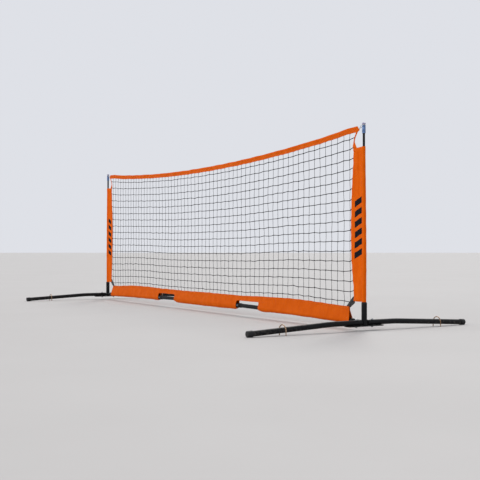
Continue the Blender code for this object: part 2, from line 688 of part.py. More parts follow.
def net_panel():
    """The netting as one thin panel, between the tape, the sleeves and the band."""
    tape_low = TAPE_END_AXIS_Z - TAPE_HALF_HEIGHT
    inset = BORDER_TOP_IN + 2 * NET_GAP
    right = [(BORDER_WAIST_IN + 2 * NET_GAP, BORDER_WAIST_Z),
             (BORDER_FOOT_IN + NET_GAP, SLEEVE_TOP + NET_GAP)]
    right += [(panel_edge(z) + NET_GAP, z) for z in spread(SLEEVE_TOP - 0.004, STRAP_TOP_Z + 0.004, 14)]
    right.append((STRAP_NEAR + NET_GAP, STRAP_TOP_Z + 2 * NET_GAP))
    bottom = HALF_SPAN - STRAP_FOOT_FAR - 2 * NET_GAP
    top = HALF_SPAN - inset - 0.004
    outline = [(x, tape_z(x) - TAPE_HALF_HEIGHT - NET_GAP) for x in spread(-top, top, 25)]
    outline += [(HALF_SPAN - inset, tape_low - 0.002)]
    outline += [(HALF_SPAN - u, z) for u, z in right]
    outline += [(x, band_top_z(x) + NET_GAP) for x in spread(bottom, -bottom, 33)]
    outline += [(u - HALF_SPAN, z) for u, z in right[::-1]]
    outline += [(inset - HALF_SPAN, tape_low - 0.002)]
    return plate("net_panel", outline, NET_HALF_THICKNESS, NET_TWINE)


# ---------------------------------------------------------------- the whole object
def build():
    for side, sign in SIDES:
        post = empty(f"post_{side}", (sign * HALF_SPAN, 0, 0))
        foot_bracket(side, sign, post)
        for end, way in ENDS:
            pivot = leg(side, end, way, post)
            ground_peg(side, end, way, pivot)
            pivot_bolt(side, end, way, post)
        socket(side, sign, post)
        top_loop(side, sign, pole(side, post))
        post_sleeve(side, sign, post)
        webbing(side, sign, post)
    rail()
    bottom_band()
    top_tape()
    net_panel()


build()
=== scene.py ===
"""Looks of the portable foot-volley net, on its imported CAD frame.

Metres, +Z up. X runs along the net, Y across it. "right" is +X, "left" -X, "front" -Y and "rear" +Y.
"""
import math

import bmesh
import bpy
import numpy as np
from mathutils import Matrix, Vector


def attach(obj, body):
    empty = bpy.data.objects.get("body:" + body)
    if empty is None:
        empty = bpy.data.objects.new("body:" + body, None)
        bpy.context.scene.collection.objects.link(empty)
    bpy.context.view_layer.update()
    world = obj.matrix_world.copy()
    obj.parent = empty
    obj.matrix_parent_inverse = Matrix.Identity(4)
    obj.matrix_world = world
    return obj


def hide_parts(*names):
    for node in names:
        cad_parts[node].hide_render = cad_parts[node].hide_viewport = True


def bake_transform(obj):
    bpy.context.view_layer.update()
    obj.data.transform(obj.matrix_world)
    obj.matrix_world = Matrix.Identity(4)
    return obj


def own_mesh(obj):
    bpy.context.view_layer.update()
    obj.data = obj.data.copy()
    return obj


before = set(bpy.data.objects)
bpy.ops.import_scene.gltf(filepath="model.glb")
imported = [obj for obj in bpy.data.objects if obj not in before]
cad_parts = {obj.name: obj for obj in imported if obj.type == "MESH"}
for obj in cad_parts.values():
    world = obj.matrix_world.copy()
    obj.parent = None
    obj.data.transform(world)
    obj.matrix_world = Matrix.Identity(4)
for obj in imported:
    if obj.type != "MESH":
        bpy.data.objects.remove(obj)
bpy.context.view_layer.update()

TAU = 2 * math.pi
SIDES = (("right", 1.0), ("left", -1.0))
ENDS = (("front", -1.0), ("rear", 1.0))
SPAN = 1.5                      # post axis from the centre

# ---------------------------------------------------------------- sizes that the CAD also holds
LEG_R, LEG_START, LEG_Z, LEG_BEND, LEG_END, LEG_END_Z = 0.012, 0.018, 0.036, 0.180, 0.616, 0.013
CAP_R, CAP_LENGTH = 0.0140, 0.0262
PLATE_HALF_X, PLATE_HALF_Y, PLATE_LOW, PLATE_TOP = 0.020, 0.100, 0.0193, 0.0235
STOP_X, STOP_Y, STOP_TOP = (0.0126, 0.0164), (0.078, 0.092), 0.0415
PIVOT, HEXAGON_R, WASHER_LOW = 0.045, 0.0056, 0.0477
PEG_AT, PEG_HALF, PEG_CROWN, PEG_R = 0.440, 0.0247, 0.0452, 0.0023
SOCKET_R, SOCKET_BORE, SOCKET_TOP, BUSH_TOP = 0.0125, 0.0110, 0.1200, 0.1270
ROD_R, ROD_LOW, ROD_TOP = 0.0055, 0.0238, 0.9150
FERRULE_R, FERRULE_LOW, FERRULE_TOP, NECK_R, POST_TOP = 0.0080, 0.8850, 0.9210, 0.0050, 0.9340
STUB_R, STUB_END = 0.0090, 1.355
RAIL_R, RAIL_END, COLLAR_R, COLLAR_LENGTH = 0.0110, 1.425, 0.0126, 0.092
BUTTON_BACK, BUTTON_HOLE_R = 0.023, 0.0042
JOINTS = (("right", 0.434), ("left", -0.566))
BAND_R, BAND_END = 0.0136, 1.410
WINDOW_BEFORE, WINDOW_AFTER = 0.035, 0.192      # a window's ends from the rail's joint
WINDOW_ENDS = [joint + gap for _, joint in JOINTS for gap in (-WINDOW_BEFORE, WINDOW_AFTER)]
WINDOWS = [(joint - WINDOW_BEFORE - 0.004, joint + WINDOW_AFTER) for _, joint in JOINTS]      # in the cloth
TAPE_END, TAPE_TIP, TAPE_Z, TAPE_SAG, TAPE_HALF = 1.4535, 1.4670, 0.9095, 0.0660, 0.0134
CORD_R, CORD_LIFT = 0.0013, 0.0060              # the headline cord and the loops; its height in the tape
SLEEVE_LOW, SLEEVE_TOP = 0.1275, 0.8260
POCKET_SEAM = 0.0155            # where a sleeve's flat panel meets its pocket, from the post's axis
SLEEVE_STITCH = 0.0165          # the stitches beside it
HALF_GIRTH = 0.0250             # half the way round a sleeve's pocket, from seam to seam
SLEEVE_SEED = {1.0: 40, -1.0: 60}
CELL, ROWS, COLUMNS, FIRST_COLUMN = 0.04587, 17, 62, 0.101


def points(x, y, z):
    """Points from their coordinates, any of which may be one number for them all."""
    return np.stack(np.broadcast_arrays(x, y, z), -1)


def paired(a, b):
    """Two arrays brought to one shape."""
    return np.broadcast_arrays(np.asarray(a, float), np.asarray(b, float))


def circle(count):
    """Angles evenly round a circle."""
    return np.linspace(0, TAU, count + 1)[:-1]


def ease(value):
    """A smooth step from 0 to 1."""
    value = np.clip(value, 0.0, 1.0)
    return value * value * (3 - 2 * value)


def bell(value, width):
    """1 at zero, falling to nothing a few widths away."""
    return np.exp(-(value / width) ** 2)


def rail_z(x):
    """Height of the rail's axis, which rises between the feet."""
    return 0.037 + 0.0195 * np.cos(math.pi * x / (2 * SPAN))


def rail_line(x):
    """Points of the rail's axis."""
    return points(x, 0, rail_z(x))


def band_top(x):
    """Height of the band's top edge."""
    turned = math.pi * x / SPAN
    return 0.1105 + 0.0019 * np.cos(turned) - 0.0047 * np.cos(2 * turned) + 0.0031 * np.cos(3 * turned)


def band_hang(x):
    """How far the band's lower fold hangs clear of the rail, less at the windows' ends."""
    near = np.min([np.abs(x - end) for end in WINDOW_ENDS], axis=0)
    return 0.0125 * np.maximum(0.0, 1 - (x / 0.95) ** 2) ** 1.5 * (1 - 0.75 * bell(near, 0.016))


def tape_bump(x):
    """The stiff ends of the tape leave its hanging curve a little."""
    return 0.0035 * bell(np.abs(x) - 1.365, 0.045)


def tape_z(x):
    """Height of the tape's middle line, which sags between the posts."""
    return TAPE_Z - TAPE_SAG * np.maximum(0.0, 1 - (x / TAPE_END) ** 2) + tape_bump(x)


def tape_drift(x, c):
    """How far the tape sways out of its plane, at share c of its half height."""
    return 0.0009 * ripple(x, c * 0.014, 0.16, 0.09, 12) + 0.00045 * ripple(x, c * 0.014, 0.045, 0.05, 13)


def band_sway(x):
    """How far the band's top edge sways out of its plane."""
    return 0.0016 * ripple(x, 0, 0.35, 1, 26)


def border_sway(z, sign):
    """How far a side border sways out of its plane."""
    return 0.0008 * ripple(z, 0, 0.04, 1, 71 + int(sign)) * ease((0.893 - z) / 0.01)


def panel_edge(z, sign):
    """Inner edge of a sleeve from the post's axis, with the small pull of every row of the net."""
    bow = 0.0222 if sign > 0 else 0.0140
    rows = 0.0009 * np.cos(TAU * (z - 0.869) / 0.0463)
    return 0.0724 + bow * np.cos(math.pi * (z - 0.465) / 0.74) ** 2 + rows


def ripple(u, v, size_u, size_v, seed, count=10):
    """Smooth waves of about unit height, the same on every run."""
    rng = np.random.default_rng(seed)
    total = 0.0
    for _ in range(count):
        way, fine, phase = rng.uniform(0, TAU), rng.uniform(0.6, 1.5), rng.uniform(0, TAU)
        total = total + np.cos(TAU * fine * (math.cos(way) * u / size_u + math.sin(way) * v / size_v) + phase)
    return total / math.sqrt(count / 2)


# ---------------------------------------------------------------- node materials
class Paint:
    """A node material, with short calls for the nodes that it is made of."""

    def __init__(self, name, roughness, metallic=0.0, **fixed):
        self.material = bpy.data.materials.new(name)
        self.material.use_nodes = True
        self.tree = self.material.node_tree
        self.shader = self.tree.nodes["Principled BSDF"]
        self.shader.inputs["Roughness"].default_value = roughness
        self.shader.inputs["Metallic"].default_value = metallic
        for key, value in fixed.items():
            self.shader.inputs[key.replace("_", " ")].default_value = value
        self.under = None

    def put(self, socket, value):
        if isinstance(value, bpy.types.NodeSocket):
            self.tree.links.new(value, socket)
        else:
            socket.default_value = value

    def add(self, kind, inputs=(), out=0, **props):
        node = self.tree.nodes.new("ShaderNode" + kind)
        for key, value in props.items():
            setattr(node, key, value)
        for key, value in dict(inputs).items():
            self.put(node.inputs[key], value)
        return node.outputs[out]

    def math(self, operation, *values):
        return self.add("Math", {i: value for i, value in enumerate(values)}, operation=operation)

    def times(self, a, b):
        return self.math("MULTIPLY", a, b)

    def flat(self):
        """The place on the cloth, in metres."""
        return self.add("UVMap", uv_map="UVMap")

    def uv(self):
        return [self.add("SeparateXYZ", {0: self.flat()}, out) for out in (0, 1)]

    def place(self):
        """The place in the piece's own space."""
        return self.add("TexCoord", out=3)

    def noise(self, size, detail=3.0, where=None, stretch=(1, 1, 1)):
        spot = self.place() if where is None else where
        spot = self.add("Mapping", {"Vector": spot, "Scale": stretch})
        return self.add("TexNoise", {"Vector": spot, "Scale": 1 / size, "Detail": detail, "Roughness": 0.55})

    def span(self, value, low, high, to_low=0.0, to_high=1.0):
        return self.add("MapRange", {0: value, 1: low, 2: high, 3: to_low, 4: to_high},
                        interpolation_type="SMOOTHSTEP")

    def wave(self, value, pitch, phase=0.0):
        return self.math("SINE", self.math("MULTIPLY_ADD", value, TAU / pitch, phase))

    def blend(self, factor, a, b):
        a, b = (value if isinstance(value, bpy.types.NodeSocket) else (*value, 1.0) for value in (a, b))
        return self.add("Mix", {0: factor, 6: a, 7: b}, out=2, data_type="RGBA")

    def bump(self, height, distance, strength=1.0):
        inputs = {"Height": height, "Distance": distance, "Strength": strength}
        if self.under is not None:
            inputs["Normal"] = self.under
        self.under = self.add("Bump", inputs)
        self.put(self.shader.inputs["Normal"], self.under)

    def colour(self, value):
        self.put(self.shader.inputs["Base Color"],
                 value if isinstance(value, bpy.types.NodeSocket) else (*value, 1.0))

    def rough(self, value):
        self.put(self.shader.inputs["Roughness"], value)


ORANGE, ORANGE_DEEP, ORANGE_PALE = (0.69, 0.112, 0.0006), (0.615, 0.092, 0.0004), (0.77, 0.140, 0.002)
INK = (0.006, 0.007, 0.012)


def cloth(name, depth=1.0, printed=False):
    """Coated woven polyester: a plain weave of 0.6 mm threads, faint streaks and creases, with painted shade
    in the weave's hollows. A depth below 1 darkens the whole cloth as painted shade.
    """
    paint = Paint(name, 0.62, Specular_IOR_Level=0.045)
    u, v = paint.uv()
    spot = paint.flat()
    weave = paint.times(paint.wave(u, 0.0012), paint.wave(v, 0.0012))
    slub = paint.noise(0.0016, 2.0, spot, (1, 0.12, 1))
    streak = paint.noise(0.006, 3.0, spot, (1, 0.05, 1))
    cloud = paint.noise(0.045, 4.0, spot)
    tone = paint.math("MULTIPLY_ADD", streak, 0.4, paint.times(cloud, 0.6))
    # A depth below 1 scales all three oranges down: painted shade.
    deep, clear, pale = (tuple(depth * part for part in colour)
                         for colour in (ORANGE_DEEP, ORANGE, ORANGE_PALE))
    body = paint.blend(paint.span(tone, 0.36, 0.64), deep, clear)
    body = paint.blend(paint.span(slub, 0.55, 0.80, 0.0, 0.30), body, pale)
    # Painted shade: the weave's low points, its hollows, are blended towards the deep orange.
    body = paint.blend(paint.span(weave, -1.0, -0.2, 0.30, 0.0), body, deep)
    paint.rough(paint.span(cloud, 0.3, 0.7, 0.66, 0.54))
    if printed:
        body = bars(paint, u, v, spot, body)
    paint.colour(body)
    paint.bump(paint.noise(0.010, 4.0, spot, (1, 0.35, 1)), 0.0012, 0.35)
    paint.bump(weave, 0.00012, 0.6)
    return paint.material


def bars(paint, u, v, spot, body):
    """Screen-printed slanted bars up the sleeve, on both of its faces."""
    low, high, pitch, share = 0.331, 0.611, 0.0467, 0.60
    away = paint.math("ADD", paint.math("ABSOLUTE", u), POCKET_SEAM - HALF_GIRTH)
    slanted = paint.math("MULTIPLY_ADD", paint.math("SUBTRACT", away, 0.040), 0.42, v)
    step = paint.math("FRACT", paint.math("DIVIDE", paint.math("SUBTRACT", slanted, low), pitch))
    inside = paint.math("LESS_THAN", step, share)
    for value, least, most in ((away, 0.0150, 0.0655), (slanted, low, high)):
        inside = paint.times(inside, paint.math("GREATER_THAN", value, least))
        inside = paint.times(inside, paint.math("LESS_THAN", value, most))
    worn = paint.span(paint.noise(0.0022, 5.0, spot), 0.66, 0.72, 1.0, 0.45)
    return paint.blend(paint.times(inside, worn), body, INK)


def clouds(paint, dark, light, size, roughness, stretch=(1, 1, 1)):
    """Cloudy roughness, and the cloudy colour that is returned."""
    cloud = paint.noise(size, 4.0, stretch=stretch)
    paint.rough(paint.span(cloud, 0.3, 0.7, roughness * 0.85, roughness * 1.15))
    return paint.blend(paint.span(cloud, 0.35, 0.65), dark, light)


def plain(name, dark, light, size, roughness, metallic=0.0, bump=0.0, fine=0.0005, stretch=(1, 1, 1),
          **fixed):
    """A finish that varies over two scales: clouds, and a fine surface texture."""
    paint = Paint(name, roughness, metallic, **fixed)
    paint.colour(clouds(paint, dark, light, size, roughness, stretch))
    paint.bump(paint.noise(fine, 3.0, stretch=stretch), bump, 0.6)
    return paint.material


def powder_coat():
    """Satin black, chipped to the metal on sharp edges, with sand dust near the ground."""
    paint = Paint("powder_coat", 0.46, Specular_IOR_Level=0.14)
    base = clouds(paint, (0.0025, 0.0026, 0.0035), (0.0048, 0.0050, 0.0063), 0.020, 0.46)
    paint.bump(paint.noise(0.0011, 3.0), 0.00010, 0.6)
    edge = paint.span(paint.add("NewGeometry", out=7), 0.56, 0.64)
    chip = paint.times(edge, paint.span(paint.noise(0.004, 4.0), 0.52, 0.60))
    base = paint.blend(paint.times(chip, 0.6), base, (0.16, 0.155, 0.15))
    height = paint.add("SeparateXYZ", {0: paint.place()}, 2)
    low = paint.times(paint.span(height, 0.004, 0.040, 0.20, 0.0),
                      paint.span(paint.noise(0.012, 5.0), 0.46, 0.66))
    paint.colour(paint.blend(low, base, (0.30, 0.265, 0.225)))
    return paint.material


def twine(name, dark, light):
    """Three-ply twisted twine, with painted shade in the grooves between its plies."""
    paint = Paint(name, 0.78, Specular_IOR_Level=0.2)
    u, v = paint.uv()
    ply = paint.wave(paint.math("MULTIPLY_ADD", v, 3 / 0.00534, paint.math("DIVIDE", u, 0.0042)), 1.0)
    cloud = paint.noise(0.05, 3.0)
    body = paint.blend(paint.span(cloud, 0.35, 0.65), dark, light)
    # Painted shade: the grooves between the plies are blended towards near black.
    paint.colour(paint.blend(paint.span(ply, -1.0, 0.2, 0.7, 0.0), body, (0.005, 0.005, 0.006)))
    paint.bump(ply, 0.00028, 0.8)
    return paint.material


def cord_braid():
    """Braided cord: two sets of strands that wind round it opposite ways, with painted shade in the braid's
    hollows.
    """
    paint = Paint("pale_cord", 0.62, Sheen_Weight=0.1)
    u, v = paint.uv()
    along = paint.math("DIVIDE", u, 0.0030)
    one, two = (paint.wave(paint.math("MULTIPLY_ADD", v, turns, along), 1.0)
                for turns in (4 / (TAU * CORD_R), -4 / (TAU * CORD_R)))
    braid = paint.times(one, two)
    # Painted shade: the braid's low points take the darker grey.
    paint.colour(paint.blend(paint.span(braid, -1.0, 0.6), (0.36, 0.36, 0.37), (0.66, 0.66, 0.67)))
    paint.bump(braid, 0.0003, 0.8)
    return paint.material


def webbing_weave():
    """Polypropylene webbing: ribs across a herringbone, with painted shade in the hollows between the ribs.
    """
    paint = Paint("black_webbing", 0.68, Sheen_Weight=0.1)
    u, v = paint.uv()
    herring = paint.math("MULTIPLY_ADD", paint.math("PINGPONG", v, 0.0025), 0.9, u)
    rib = paint.wave(herring, 0.0013)
    # Painted shade: the hollows between the ribs take the darker black.
    paint.colour(paint.blend(paint.span(rib, -0.8, 0.8), (0.004, 0.004, 0.0045), (0.013, 0.013, 0.014)))
    paint.bump(rib, 0.0002, 0.8)
    return paint.material


LOOK = {        # each with the slot of the record's material that it stands for
    # The tape (depth 0.92) and the band (0.86) are darker copies of the sleeve's cloth: painted shade.
    "tape": (cloth("orange_tape", 0.92), "orange_fabric"),
    "band": (cloth("orange_band", 0.86), "orange_fabric"),
    "sleeve": (cloth("orange_sleeve", 1.0, printed=True), "orange_fabric"),
    "thread": (plain("orange_thread", (0.60, 0.085, 0.004), (0.80, 0.170, 0.010), 0.003, 0.45,
                     bump=0.00005, Sheen_Weight=0.2), "orange_fabric"),
    "coat": (powder_coat(), "powder_coat"),
    "plastic": (plain("black_plastic", (0.0050, 0.0050, 0.0056), (0.0095, 0.0095, 0.0102), 0.009, 0.52,
                      bump=0.00008, fine=0.0007, Specular_IOR_Level=0.30), "black_plastic"),
    "rod": (plain("fibreglass", (0.0020, 0.0020, 0.0028), (0.0050, 0.0050, 0.0064), 0.010, 0.36,
                  bump=0.00003, fine=0.0008, stretch=(1, 1, 0.04), Specular_IOR_Level=0.16), "fibreglass"),
    "ferrule": (plain("ferrule_alloy", (0.080, 0.135, 0.265), (0.120, 0.185, 0.330), 0.006, 0.34, 1.0,
                      bump=0.00003, fine=0.0004, stretch=(0.04, 0.04, 1)), "ferrule_alloy"),
    "cap": (plain("cap_plastic", (0.235, 0.215, 0.330), (0.290, 0.270, 0.400), 0.005, 0.40,
                  bump=0.00004), "cap_plastic"),
    "zinc": (plain("zinc_steel", (0.30, 0.31, 0.32), (0.46, 0.47, 0.49), 0.003, 0.36, 1.0, 0.00003),
             "zinc_steel"),
    "wire": (plain("peg_wire", (0.20, 0.115, 0.065), (0.42, 0.30, 0.21), 0.005, 0.42, 1.0, 0.00006),
             "peg_wire"),
    "button": (plain("button_steel", (0.25, 0.36, 0.50), (0.38, 0.50, 0.64), 0.003, 0.24, 1.0, 0.00002),
               "button_steel"),
    # Lit and shaded copies of one twine: the level twine is painted darker as painted shade, the upright
    # twine lighter as painted light.
    "twine": (twine("net_twine", (0.006, 0.006, 0.008), (0.014, 0.013, 0.016)), "net_twine"),
    "lit_twine": (twine("net_twine_painted_light", (0.016, 0.016, 0.018), (0.034, 0.033, 0.037)), "net_twine"),
    "cord": (cord_braid(), "pale_cord"),
    "hidden_cord": (plain("hidden_cord", (0.42, 0.42, 0.42), (0.60, 0.60, 0.60), 0.004, 0.6,
                          bump=0.0001), "pale_cord"),
    "webbing": (webbing_weave(), "black_webbing"),
}


# ---------------------------------------------------------------- surfaces as grids of points
def lattice(rows, cols, wrap):
    """The row and column of every quad of a grid, and its four points; wrap closes each row into a ring."""
    i, j = np.meshgrid(np.arange(rows - 1), np.arange(cols if wrap else cols - 1), indexing="ij")
    i, j = i.ravel(), j.ravel()
    after = (j + 1) % cols
    return i, j, np.stack([i * cols + j, i * cols + after, (i + 1) * cols + after, (i + 1) * cols + j], 1)


class Build:
    """Grids of quads gathered into one mesh, with UVs in metres."""

    def __init__(self):
        self.points, self.quads, self.uvs, self.count = [], [], [], 0

    def keep(self, points, quads, corners):
        """Adds points and quads that count from their own first point."""
        self.points.append(points)
        self.quads.append(quads + self.count)
        self.uvs.append(corners)
        self.count += len(points)

    def grid(self, points, wrap=True, uv=None):
        """Rows of points joined by quads that face away from their middle."""
        points = np.asarray(points, float)
        i, j, quads = lattice(*points.shape[:2], wrap)
        if uv is None:
            ring = np.concatenate([points, points[:, :1]], 1)
            along = np.r_[0, np.cumsum(np.linalg.norm(np.diff(points, axis=0), axis=2).mean(1))]
            around = np.r_[0, np.cumsum(np.linalg.norm(np.diff(ring, axis=1), axis=2).max(0))]
            uv = np.stack(np.meshgrid(along, around, indexing="ij"), -1)
        else:
            uv = np.concatenate([uv, 2 * uv[:, -1:] - uv[:, -2:-1]], 1)
        corners = np.stack([uv[i, j], uv[i, j + 1], uv[i + 1, j + 1], uv[i + 1, j]], 1)
        flat = points.reshape(-1, 3)
        a, b, c, d = (flat[quads[:, k]] for k in range(4))
        facing = ((a + b + c + d) / 4 - flat.mean(0)) * np.cross(c - a, d - b)
        if facing.sum() < 0:
            quads, corners = quads[:, ::-1], corners[:, ::-1]
        self.keep(flat, quads, corners)
        return self

    def copies(self, grids):
        """Many ring grids of one size in one step, without UVs of their own."""
        number, rows, cols = grids.shape[:3]
        i, j, one = lattice(rows, cols, True)
        quads = (one[None] + (np.arange(number) * rows * cols)[:, None, None]).reshape(-1, 4)
        corners = np.stack([i, j, i, j + 1, i + 1, j + 1, i + 1, j], 1).reshape(-1, 4, 2) * 0.001
        self.keep(grids.reshape(-1, 3), quads, np.tile(corners, (number, 1, 1)))
        return self

    def piece(self, name, look, node=None, sharp=40, body="frame", weld=False, thickness=0.0):
        """The mesh as a piece that rides on a body and, with a node, stands for that node of the CAD."""
        points, quads = np.concatenate(self.points), np.concatenate(self.quads)
        mesh = bpy.data.meshes.new(name)
        mesh.vertices.add(len(points))
        mesh.vertices.foreach_set("co", points.ravel())
        mesh.loops.add(quads.size)
        mesh.loops.foreach_set("vertex_index", quads.ravel().astype(np.int32))
        mesh.polygons.add(len(quads))
        mesh.polygons.foreach_set("loop_start", np.arange(0, quads.size, 4, dtype=np.int32))
        layer = mesh.uv_layers.new(name="UVMap")
        layer.data.foreach_set("uv", np.concatenate(self.uvs).ravel().astype(np.float32))
        mesh.update(calc_edges=True)
        if weld:
            shape = bmesh.new()
            shape.from_mesh(mesh)
            bmesh.ops.remove_doubles(shape, verts=shape.verts, dist=0.00001)
            shape.to_mesh(mesh)
            shape.free()
        mesh.validate()
        mesh.shade_smooth()
        mesh.set_sharp_from_angle(angle=math.radians(sharp))
        material, slot = LOOK[look]
        mesh.materials.append(material)
        obj = place(name, mesh)
        if thickness:
            shell = obj.modifiers.new("Cloth thickness", "SOLIDIFY")
            shell.thickness = thickness
            shell.offset = 0.0
        if node:
            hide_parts(node)
        if body:
            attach(obj, body)
        return obj


def solid(rings, name, look, node=None, sharp=40, body="frame"):
    """A piece that is one closed grid."""
    return Build().grid(rings).piece(name, look, node, sharp, body)


def unit(vectors):
    """Vectors brought to length one."""
    return vectors / np.maximum(np.linalg.norm(vectors, axis=-1, keepdims=True), 1e-12)


def sweep(path, radius, sides=16, up=(0, 0, 1), closed=False):
    """Rings of a round tube along a path that is never parallel to up."""
    path = np.asarray(path, float)
    tangent = unit(np.roll(path, -1, 0) - np.roll(path, 1, 0) if closed else np.gradient(path, axis=0))
    across = unit(np.cross(tangent, np.asarray(up, float)))
    lift = np.cross(across, tangent)
    turn_by = np.arange(sides) * TAU / sides
    ring = across[:, None] * np.cos(turn_by)[None, :, None] + lift[:, None] * np.sin(turn_by)[None, :, None]
    rings = path[:, None] + ring * np.broadcast_to(radius, len(path))[:, None, None]
    return np.concatenate([rings, rings[:1]]) if closed else rings


def lids(rings, bevel, start=True):
    """The same tube with its ends closed and a little rounded; without start, only the last one."""
    def lid(ring, inner):
        centre = ring.mean(0)
        inward = unit(inner.mean(0) - centre)
        radius = np.linalg.norm(ring - centre, axis=1).mean()
        made = [centre + (ring - centre) * 0.001]
        for a in np.radians((0, 30, 60, 90)):
            shrink = 1 - bevel / radius * (1 - math.sin(a))
            made.append(centre + (ring - centre) * shrink + inward * bevel * (1 - math.cos(a)))
        return np.array(made)

    first = lid(rings[0], rings[1]) if start else rings[:1]
    return np.concatenate([first, rings[1:-1], lid(rings[-1], rings[-2])[::-1]])


def fillet(points, radius, steps=4, closed=False):
    """A polyline with its corners rounded."""
    points = [np.asarray(p, float) for p in points]
    count, made = len(points), []
    for k, point in enumerate(points):
        if not closed and k in (0, count - 1):
            made.append(point)
            continue
        before, after = points[k - 1], points[(k + 1) % count]
        cut_a = min(radius, np.linalg.norm(before - point) * 0.49)
        cut_b = min(radius, np.linalg.norm(after - point) * 0.49)
        start, stop = point + unit(before - point) * cut_a, point + unit(after - point) * cut_b
        for t in np.linspace(0, 1, steps + 1):
            made.append((1 - t) ** 2 * start + 2 * t * (1 - t) * point + t * t * stop)
    return np.array(made)


def turn(profile, base=(0, 0, 0), axis=(0, 0, 1), sides=32):
    """A turned piece from (radius, height) points along an axis."""
    axis = unit(np.asarray(axis, float))
    a = unit(np.cross(axis, (1, 0, 0) if abs(axis[0]) < 0.9 else (0, 1, 0)))
    b = np.cross(axis, a)
    radius, height = np.asarray(profile, float).T
    radius = np.maximum(radius, 0.00002)
    angle = np.arange(sides) * TAU / sides
    spoke = np.cos(angle)[:, None] * a + np.sin(angle)[:, None] * b
    return np.asarray(base, float) + height[:, None, None] * axis + radius[:, None, None] * spoke[None]


def groove(radius, depth, low, high, slope):
    """Points of a turned profile at a groove round a cylinder."""
    return [(radius, low), (radius - depth, low + slope), (radius - depth, high - slope), (radius, high)]


def slab(outline, low, high, bevel):
    """A flat plate from a closed convex (x, y) outline, with rounded edges."""
    outline = np.asarray(outline, float)
    way = np.roll(outline, -1, 0) - np.roll(outline, 1, 0)
    normal = unit(np.stack([way[:, 1], -way[:, 0]], 1))
    centre = outline.mean(0)
    if ((outline - centre) * normal).sum() < 0:
        normal = -normal
    turned = np.radians((0, 45, 90))
    inset, lift = bevel * (1 - np.sin(turned)), bevel * (1 - np.cos(turned))
    middle = centre + (outline - centre) * 0.001
    rows = [(middle, low)] + [(outline - normal * i, low + z) for i, z in zip(inset, lift)]
    rows += [(outline - normal * i, high - z) for i, z in zip(inset[::-1], lift[::-1])] + [(middle, high)]
    return np.array([np.column_stack([flat, np.full(len(flat), z)]) for flat, z in rows])


def two_faces(x, y, z, half):
    """Rings of a thin flat shape: the front of each row of points, then its rear, half a thickness away."""
    return np.concatenate([points(x, y - half, z), points(x, y + half, z)[:, ::-1]], 1)


def seam(build, surface, u, v, pitch=0.0042, radius=0.00028, face=1.0):
    """A row of thread stitches on surface(u, v), along the line through the given points of it."""
    u, v = paired(u, v)
    line = surface(u, v)
    far = np.r_[0, np.cumsum(np.linalg.norm(np.diff(line, axis=0), axis=1))]
    number = max(2, int(far[-1] / pitch))
    at = (np.arange(number) + 0.5) / number * far[-1]
    uu, vv = np.interp(at, far, u), np.interp(at, far, v)
    step = 0.0004
    du = surface(uu + step, vv) - surface(uu - step, vv)
    dv = surface(uu, vv + step) - surface(uu, vv - step)
    normal = unit(np.cross(du, dv)) * face
    here = surface(uu, vv)
    tangent = unit(np.stack([np.interp(at + 0.0005, far, line[:, k]) - np.interp(at - 0.0005, far, line[:, k])
                             for k in range(3)], 1))
    across = unit(np.cross(tangent, normal))
    angle = np.arange(5) * TAU / 5
    rings = []
    for along, lift, wide in ((-0.40, -0.9, 0.5), (-0.26, 0.5, 1.0), (0.26, 0.5, 1.0), (0.40, -0.9, 0.5)):
        centre = here + tangent * along * pitch + normal * (lift * radius + 0.00042)
        rings.append(centre[:, None] + radius * wide * (np.cos(angle)[None, :, None] * across[:, None]
                                                        + np.sin(angle)[None, :, None] * normal[:, None]))
    build.copies(np.stack(rings, 1))


# ---------------------------------------------------------------- feet
def leg_height(y):
    """Height of a leg's axis at distance y from the post's axis, with a sharp bend."""
    return np.where(y <= LEG_BEND, LEG_Z, LEG_Z + (LEG_END_Z - LEG_Z) * (y - LEG_BEND) / (LEG_END - LEG_BEND))


def bracket(side, sign):
    """Flat plate with a bent-up stop for each leg, and the weld round the socket's foot."""
    x = sign * SPAN
    half = np.array([PLATE_HALF_X, PLATE_HALF_Y])
    outline = [half * corner + (x, 0) for corner in ((-1, -1), (1, -1), (1, 1), (-1, 1))]
    plate = Build().grid(slab(fillet(outline, 0.0085, 6, True), PLATE_LOW, PLATE_TOP, 0.0009))
    for _, way in ENDS:
        stop = [(x - sign * STOP_X[a], way * STOP_Y[b]) for a, b in ((0, 0), (1, 0), (1, 1), (0, 1))]
        plate.grid(slab(fillet(stop, 0.0008, 3, True), PLATE_TOP - 0.001, STOP_TOP, 0.0009))
    angle = circle(120)
    around = SOCKET_R + 0.0004
    weld = points(x + around * np.cos(angle), around * np.sin(angle), PLATE_TOP + 0.0004)
    plate.grid(sweep(weld, 0.0019 + 0.00035 * np.cos(angle * 26), 10, closed=True))
    plate.piece(f"bracket_{side}", "coat", f"foot_bracket_{side}")


